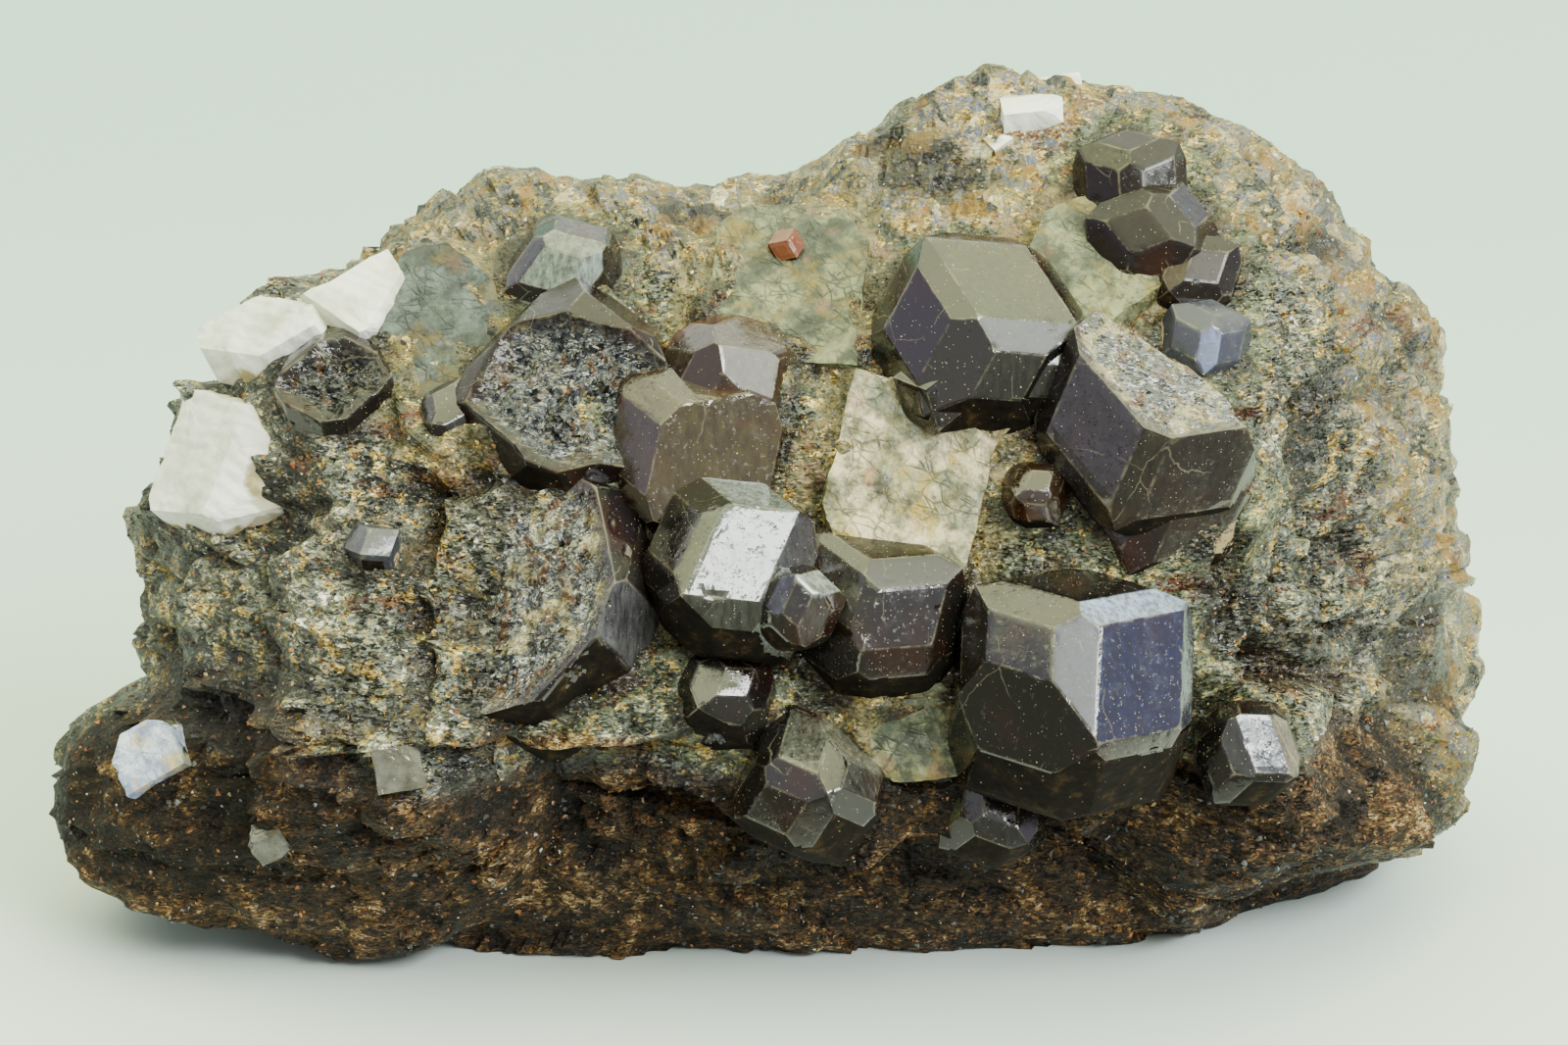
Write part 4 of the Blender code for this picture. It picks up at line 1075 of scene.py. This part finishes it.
GARNET_PIECES = (
    ("garnet_front_right", ("front_right",), dark_garnet, "garnet"),
    ("garnet_front_small", ("front_small",), dark_garnet, "garnet"),
    ("garnet_upper", ("upper", "upper_step", "upper_low"), dark_garnet, "garnet"),
    ("garnet_right", ("right", "right_low"), worn_garnet, "garnet"),
    ("garnet_right_small", ("right_chip",), brown_garnet, "garnet"),
    ("garnet_centre", ("centre", "centre_corner", "centre_black", "centre_round"), dark_garnet, "garnet"),
    ("garnet_brown", ("brown", "brown_low"), brown_garnet, "garnet"),
    ("garnet_low", ("low",), dark_garnet, "garnet"),
    ("garnet_ledge", ("ledge",), dark_garnet, "garnet"),
    ("garnet_pale", ("pale",), dark_garnet, "garnet"),
    ("garnet_left_small", ("left_small",), dark_garnet, "garnet"),
    ("garnet_left_tiny", ("left_tiny",), sheen_garnet, "garnet"),
    ("garnet_top_right", ("top_right", "top_right_mid", "top_right_low"), dim_garnet, "garnet"),
    ("garnet_blue", ("blue",), sheen_garnet, "garnet"),
    ("garnet_red", ("red",), red_garnet, "red_garnet"),
)
for node_name, keys, paint, slot in GARNET_PIECES:
    crystal = crystal_group(node_name.replace("garnet", "crystal"), keys)
    coat_crystal(crystal, paint)
    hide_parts(node_name)
    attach(crystal, "root")

# ---------------------------------------------------------------- broken garnets
# Three garnets lost their outer faces: the breaks are rough, splintery and glitter blue-grey,
# and only their rims keep smooth dark faces.
for key, paint in (("broken", dim_garnet), ("left_lump", lump_garnet), ("left_mass", worn_garnet)):
    node_name = "garnet_" + key
    crystal = crystal_group(node_name.replace("garnet", "crystal"), (key,), 0.26, chip=0.3,
                            rough=((3.4, 0.70), (1.6, 0.36), (0.8, 0.20), (0.5, 0.10)))
    coat_crystal(crystal, paint)
    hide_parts(node_name)
    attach(crystal, "root")

# ---------------------------------------------------------------- feldspar plates
# Flat cleavage plates of grey-green feldspar lie between the garnets. They split along two
# smooth directions, so their faces are flat, stepped and finely cracked, cream where fresh.


def broken_block(name, cell, chip, steps):
    """A cleavage block: planes of a box and its knocked-off corners, worn, with stepped faces.

    Steps follow the block's own axes: the depth jumps wherever a noise level is passed."""
    middle, normals, distances = block_planes(name)
    points, quads, edge, _, _ = worn_solid(middle, normals, distances, 0, cell, 60 + len(name), chip)
    inside = points - middle
    own = inside @ turned(BLOCKS[name][1])
    level = hash_noise(own / np.array((2.6, 1.3, 1.5)), 70.0 + len(name)) + 0.5 * hash_noise(own / 0.9, 71.0)
    sink = steps * (np.floor(level * 3.0) / 3.0 + 0.9) * 0.5
    sink = sink + steps * 0.35 * (0.5 - broken_grains(points, 0.8, 72))
    inward = -inside / np.linalg.norm(inside, axis=1)[:, None]
    points = points + inward * np.maximum(sink, 0)[:, None]
    piece = bare_piece(name + "_rock", (points - SHIFT) * MM, quads)
    mark(piece, "edge", np.exp(-edge / EDGE_REACH))
    mark(piece, "grip", grip(points))
    return piece


def plate_finish(name, dark, base, fresh):
    """Satin feldspar with fine cracks; grains of rock colour cling to where the rock holds it."""
    material, shader = plain_material(name, 0.42)
    here = where()
    tone, crack = spar_tone(here, dark, base, fresh)
    grain, _ = crumbs(here, 0.00045, 0.0009)
    fine = channels(grain)
    held = swung(marked("grip"), cloudy(here, 0.0016, 4.0, 0.65), 2.4)
    tone = cover(tone, ramp(fine["Red"], GREEN_TONES), held, 1.02, 1.16)
    height = sums("SUBTRACT", cloudy(here, 0.0006, 5.0), times(crack, 0.4))
    feed(shader, Base_Color=tone, Roughness=grade(fine["Green"], 0.0, 1.0, 0.28, 0.62),
         Normal=leaning(grain, 0.25, bumped(height, 0.00012, 0.8)))
    return material


green_spar = plate_finish("green_feldspar", (0.022, 0.028, 0.016), (0.080, 0.094, 0.058), (0.22, 0.23, 0.12))
cream_spar = plate_finish("cream_feldspar", (0.05, 0.048, 0.020), (0.20, 0.195, 0.10), (0.58, 0.50, 0.30))
grey_spar = plate_finish("grey_feldspar", (0.010, 0.014, 0.015), (0.030, 0.044, 0.046), (0.10, 0.13, 0.12))
for node_name, paint in (("plate_centre", green_spar), ("plate_face", cream_spar), ("plate_left", grey_spar),
                         ("plate_right", green_spar), ("plate_low", green_spar)):
    plate = broken_block(node_name, 0.30, 0.5, 0.30)
    plate.data.materials.append(paint)
    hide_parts(node_name)
    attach(plate, "root")

# ---------------------------------------------------------------- white calcite
# White calcite fills the left shoulder and caps the summit. It cleaves in slanting steps, and
# light soaks a little way into it.


def calcite_finish():
    """Chalk-white calcite with faint yellow-green veils, brown where the rock holds it, and fine lines."""
    material, shader = plain_material("white_calcite", 0.45)
    shader.inputs["Subsurface Weight"].default_value = 0.15
    shader.inputs["Subsurface Radius"].default_value = (0.001, 0.0009, 0.0008)
    shader.inputs["Subsurface Scale"].default_value = 0.5
    here = where()
    cloud = cloudy(here, 1 / 300, 5.0)
    tone = ramp(cloud, [(0.30, (0.60, 0.61, 0.48)), (0.48, (0.86, 0.88, 0.78)), (0.66, (0.95, 0.96, 0.90))])
    rim = plus(marked("grip"), sums("SUBTRACT", cloud, 0.5))
    tone = cover(tone, (0.36, 0.29, 0.13), rim, 0.78, 1.05)
    lines = node("TexWave", {"wave_type": "BANDS", "bands_direction": "DIAGONAL"}, Vector=here,
                 Scale=420.0, Distortion=6.0, Detail=3.0).outputs["Fac"]
    height = plus(times(lines, 0.4), cloudy(here, 1 / 1100, 5.0))
    feed(shader, Base_Color=tone, Normal=bumped(height, 0.00012, 0.7))
    return material


white_calcite = calcite_finish()
for node_name, cell in (("calcite_left_low", 0.28), ("calcite_left_high", 0.28), ("calcite_left_ridge", 0.28),
                        ("calcite_top", 0.28), ("calcite_chip", 0.12)):
    calcite = broken_block(node_name, cell, 0.35, 0.22)
    calcite.data.materials.append(white_calcite)
    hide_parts(node_name)
    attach(calcite, "root")

# ---------------------------------------------------------------- pale feldspar and quartz
# One cleavage face of fresh feldspar shines pale blue on the left lobe. Two chips of grey
# quartz, clear enough to look into, stick out of the dark lower front.
pale_feldspar = plate_finish("pale_feldspar", (0.20, 0.24, 0.38), (0.44, 0.52, 0.74), (0.70, 0.76, 0.90))
patch = broken_block("feldspar_patch", 0.20, 0.25, 0.10)
patch.data.materials.append(pale_feldspar)
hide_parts("feldspar_patch")
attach(patch, "root")


def quartz_finish():
    """Clear greyish quartz with thin inner veils."""
    material, shader = plain_material("grey_quartz", 0.10, 1.54)
    shader.inputs["Transmission Weight"].default_value = 0.70
    here = where()
    tone = ramp(cloudy(here, 1 / 800, 4.0), [(0.35, (0.16, 0.15, 0.11)), (0.65, (0.46, 0.46, 0.38))])
    feed(shader, Base_Color=tone, Normal=bumped(cloudy(here, 1 / 1400), 0.00006, 0.5))
    return material


grey_quartz = quartz_finish()
for node_name in ("quartz_star", "quartz_bit"):
    chip_piece = broken_block(node_name, 0.14, 0.3, 0.16)
    chip_piece.data.materials.append(grey_quartz)
    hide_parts(node_name)
    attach(chip_piece, "root")

# ---------------------------------------------------------------- loose-looking grains
# Thousands of single grains stand proud of the broken rock: dark amphibole, ochre and rusty
# stained bits, pale feldspar. Each is an angular chip, sunk to about half its height.
CHIP_CORNERS = np.array(((1, 0, 0), (-1, 0, 0), (0, 1, 0), (0, -1, 0), (0, 0, 1), (0, 0, -1)), float)
CHIP_FACES = np.array(((0, 2, 4), (2, 1, 4), (1, 3, 4), (3, 0, 4),
                       (2, 0, 5), (1, 2, 5), (3, 1, 5), (0, 3, 5)))
CHIP_SINK = 0.35                           # how deep a chip's middle lies in the rock, in chip sizes


def scatter_chips(name, spots, outward, sizes, random):
    """Angular chips on given spots: an eight-faced chip, pulled out of shape and turned at random.

    Corner k of chip n is spot n, less sink sizes, plus the turned and stretched corner k."""
    count = len(spots)
    turn = np.linalg.qr(random.normal(size=(count, 3, 3)))[0]
    turn[:, :, 0] *= np.sign(np.linalg.det(turn))[:, None]
    stretch = random.uniform(0.45, 1.25, (count, 1, 3)) * random.uniform(0.8, 1.2, (count, 6, 1))
    shape = CHIP_CORNERS[None] * stretch * sizes[:, None, None]
    shape = np.einsum("nij,nkj->nki", turn, shape)
    points = (spots - outward * (CHIP_SINK * sizes)[:, None])[:, None, :] + shape
    points[:, :, 2] = np.maximum(points[:, :, 2], 0.0)
    faces = CHIP_FACES[None] + 6 * np.arange(count)[:, None, None]
    return bare_piece(name, (points.reshape(-1, 3) - SHIFT) * MM, faces.reshape(-1, 3))


def rock_spots(count, random, least, along, low, high):
    """Random spots on the rock with their outward directions.

    They get denser along a direction: a least share up to low, one more from high on."""
    corners = rock_places[quads]
    across = np.cross(corners[:, 2] - corners[:, 0], corners[:, 3] - corners[:, 1])
    area = np.linalg.norm(across, axis=1)
    middle = corners.mean(axis=1)
    outward = across / np.maximum(area, 1e-9)[:, None]
    chance = area * (least + smooth_step(middle @ along, low, high)) * (middle[:, 2] > 0.3)
    drawn = random.choice(len(area), count, p=chance / chance.sum())
    share = random.uniform(0, 1, (count, 2, 1))
    u, v = share[:, 0], share[:, 1]
    first, second, third, fourth = corners[drawn].transpose(1, 0, 2)
    spot = first * (1 - u) * (1 - v) + second * u * (1 - v)
    spot += third * u * v + fourth * (1 - u) * v
    return spot, outward[drawn]


def chip_finish(name, tones, roughness):
    """Grains of one family: each cell of 0.7 mm picks its own tone, and fine noise mottles it."""
    material, shader = plain_material(name, roughness)
    here = where()
    wide, _ = crumbs(here, 0.0007, 0.0002)
    fine = cloudy(here, 1 / 2500)
    tone = ramp(swung(channels(wide)["Red"], fine, 0.5), tones)
    feed(shader, Base_Color=tone, Normal=bumped(fine, 0.00005, 0.6))
    return material


random = np.random.default_rng(7)
FRONT = (0.35, (0.0, -1.0, 0.0), -4.0, 10.0)
HIGH = (0.25, (0.0, 0.0, 1.0), 14.0, 30.0)
# Families of grains: name, how many, smallest and largest size, where, roughness and tones.
CHIP_FAMILIES = (
    ("dark_grains", 8000, (0.10, 0.30), FRONT, 0.30,
     [(0.0, (0.012, 0.011, 0.010)), (0.6, (0.050, 0.050, 0.042)), (1.0, (0.12, 0.13, 0.13))]),
    ("ochre_grains", 6500, (0.08, 0.24), HIGH, 0.75,
     [(0.0, (0.16, 0.10, 0.045)), (0.5, (0.33, 0.22, 0.10)), (1.0, (0.48, 0.36, 0.20))]),
    ("rust_grains", 5000, (0.08, 0.26), FRONT, 0.70,
     [(0.0, (0.085, 0.025, 0.008)), (0.5, (0.26, 0.085, 0.022)), (1.0, (0.42, 0.19, 0.06))]),
    ("pale_grains", 3000, (0.07, 0.20), HIGH, 0.45,
     [(0.0, (0.30, 0.29, 0.24)), (0.5, (0.52, 0.50, 0.42)), (1.0, (0.74, 0.73, 0.66))]),
)
for name, count, (small, large), place, roughness, tones in CHIP_FAMILIES:
    spots, outward = rock_spots(count, random, *place)
    sizes = small + (large - small) * random.uniform(0, 1, count) ** 2.5
    chips = scatter_chips(name, spots, outward, sizes, random)
    chips.data.materials.append(chip_finish(name, tones, roughness))
    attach(chips, "root")
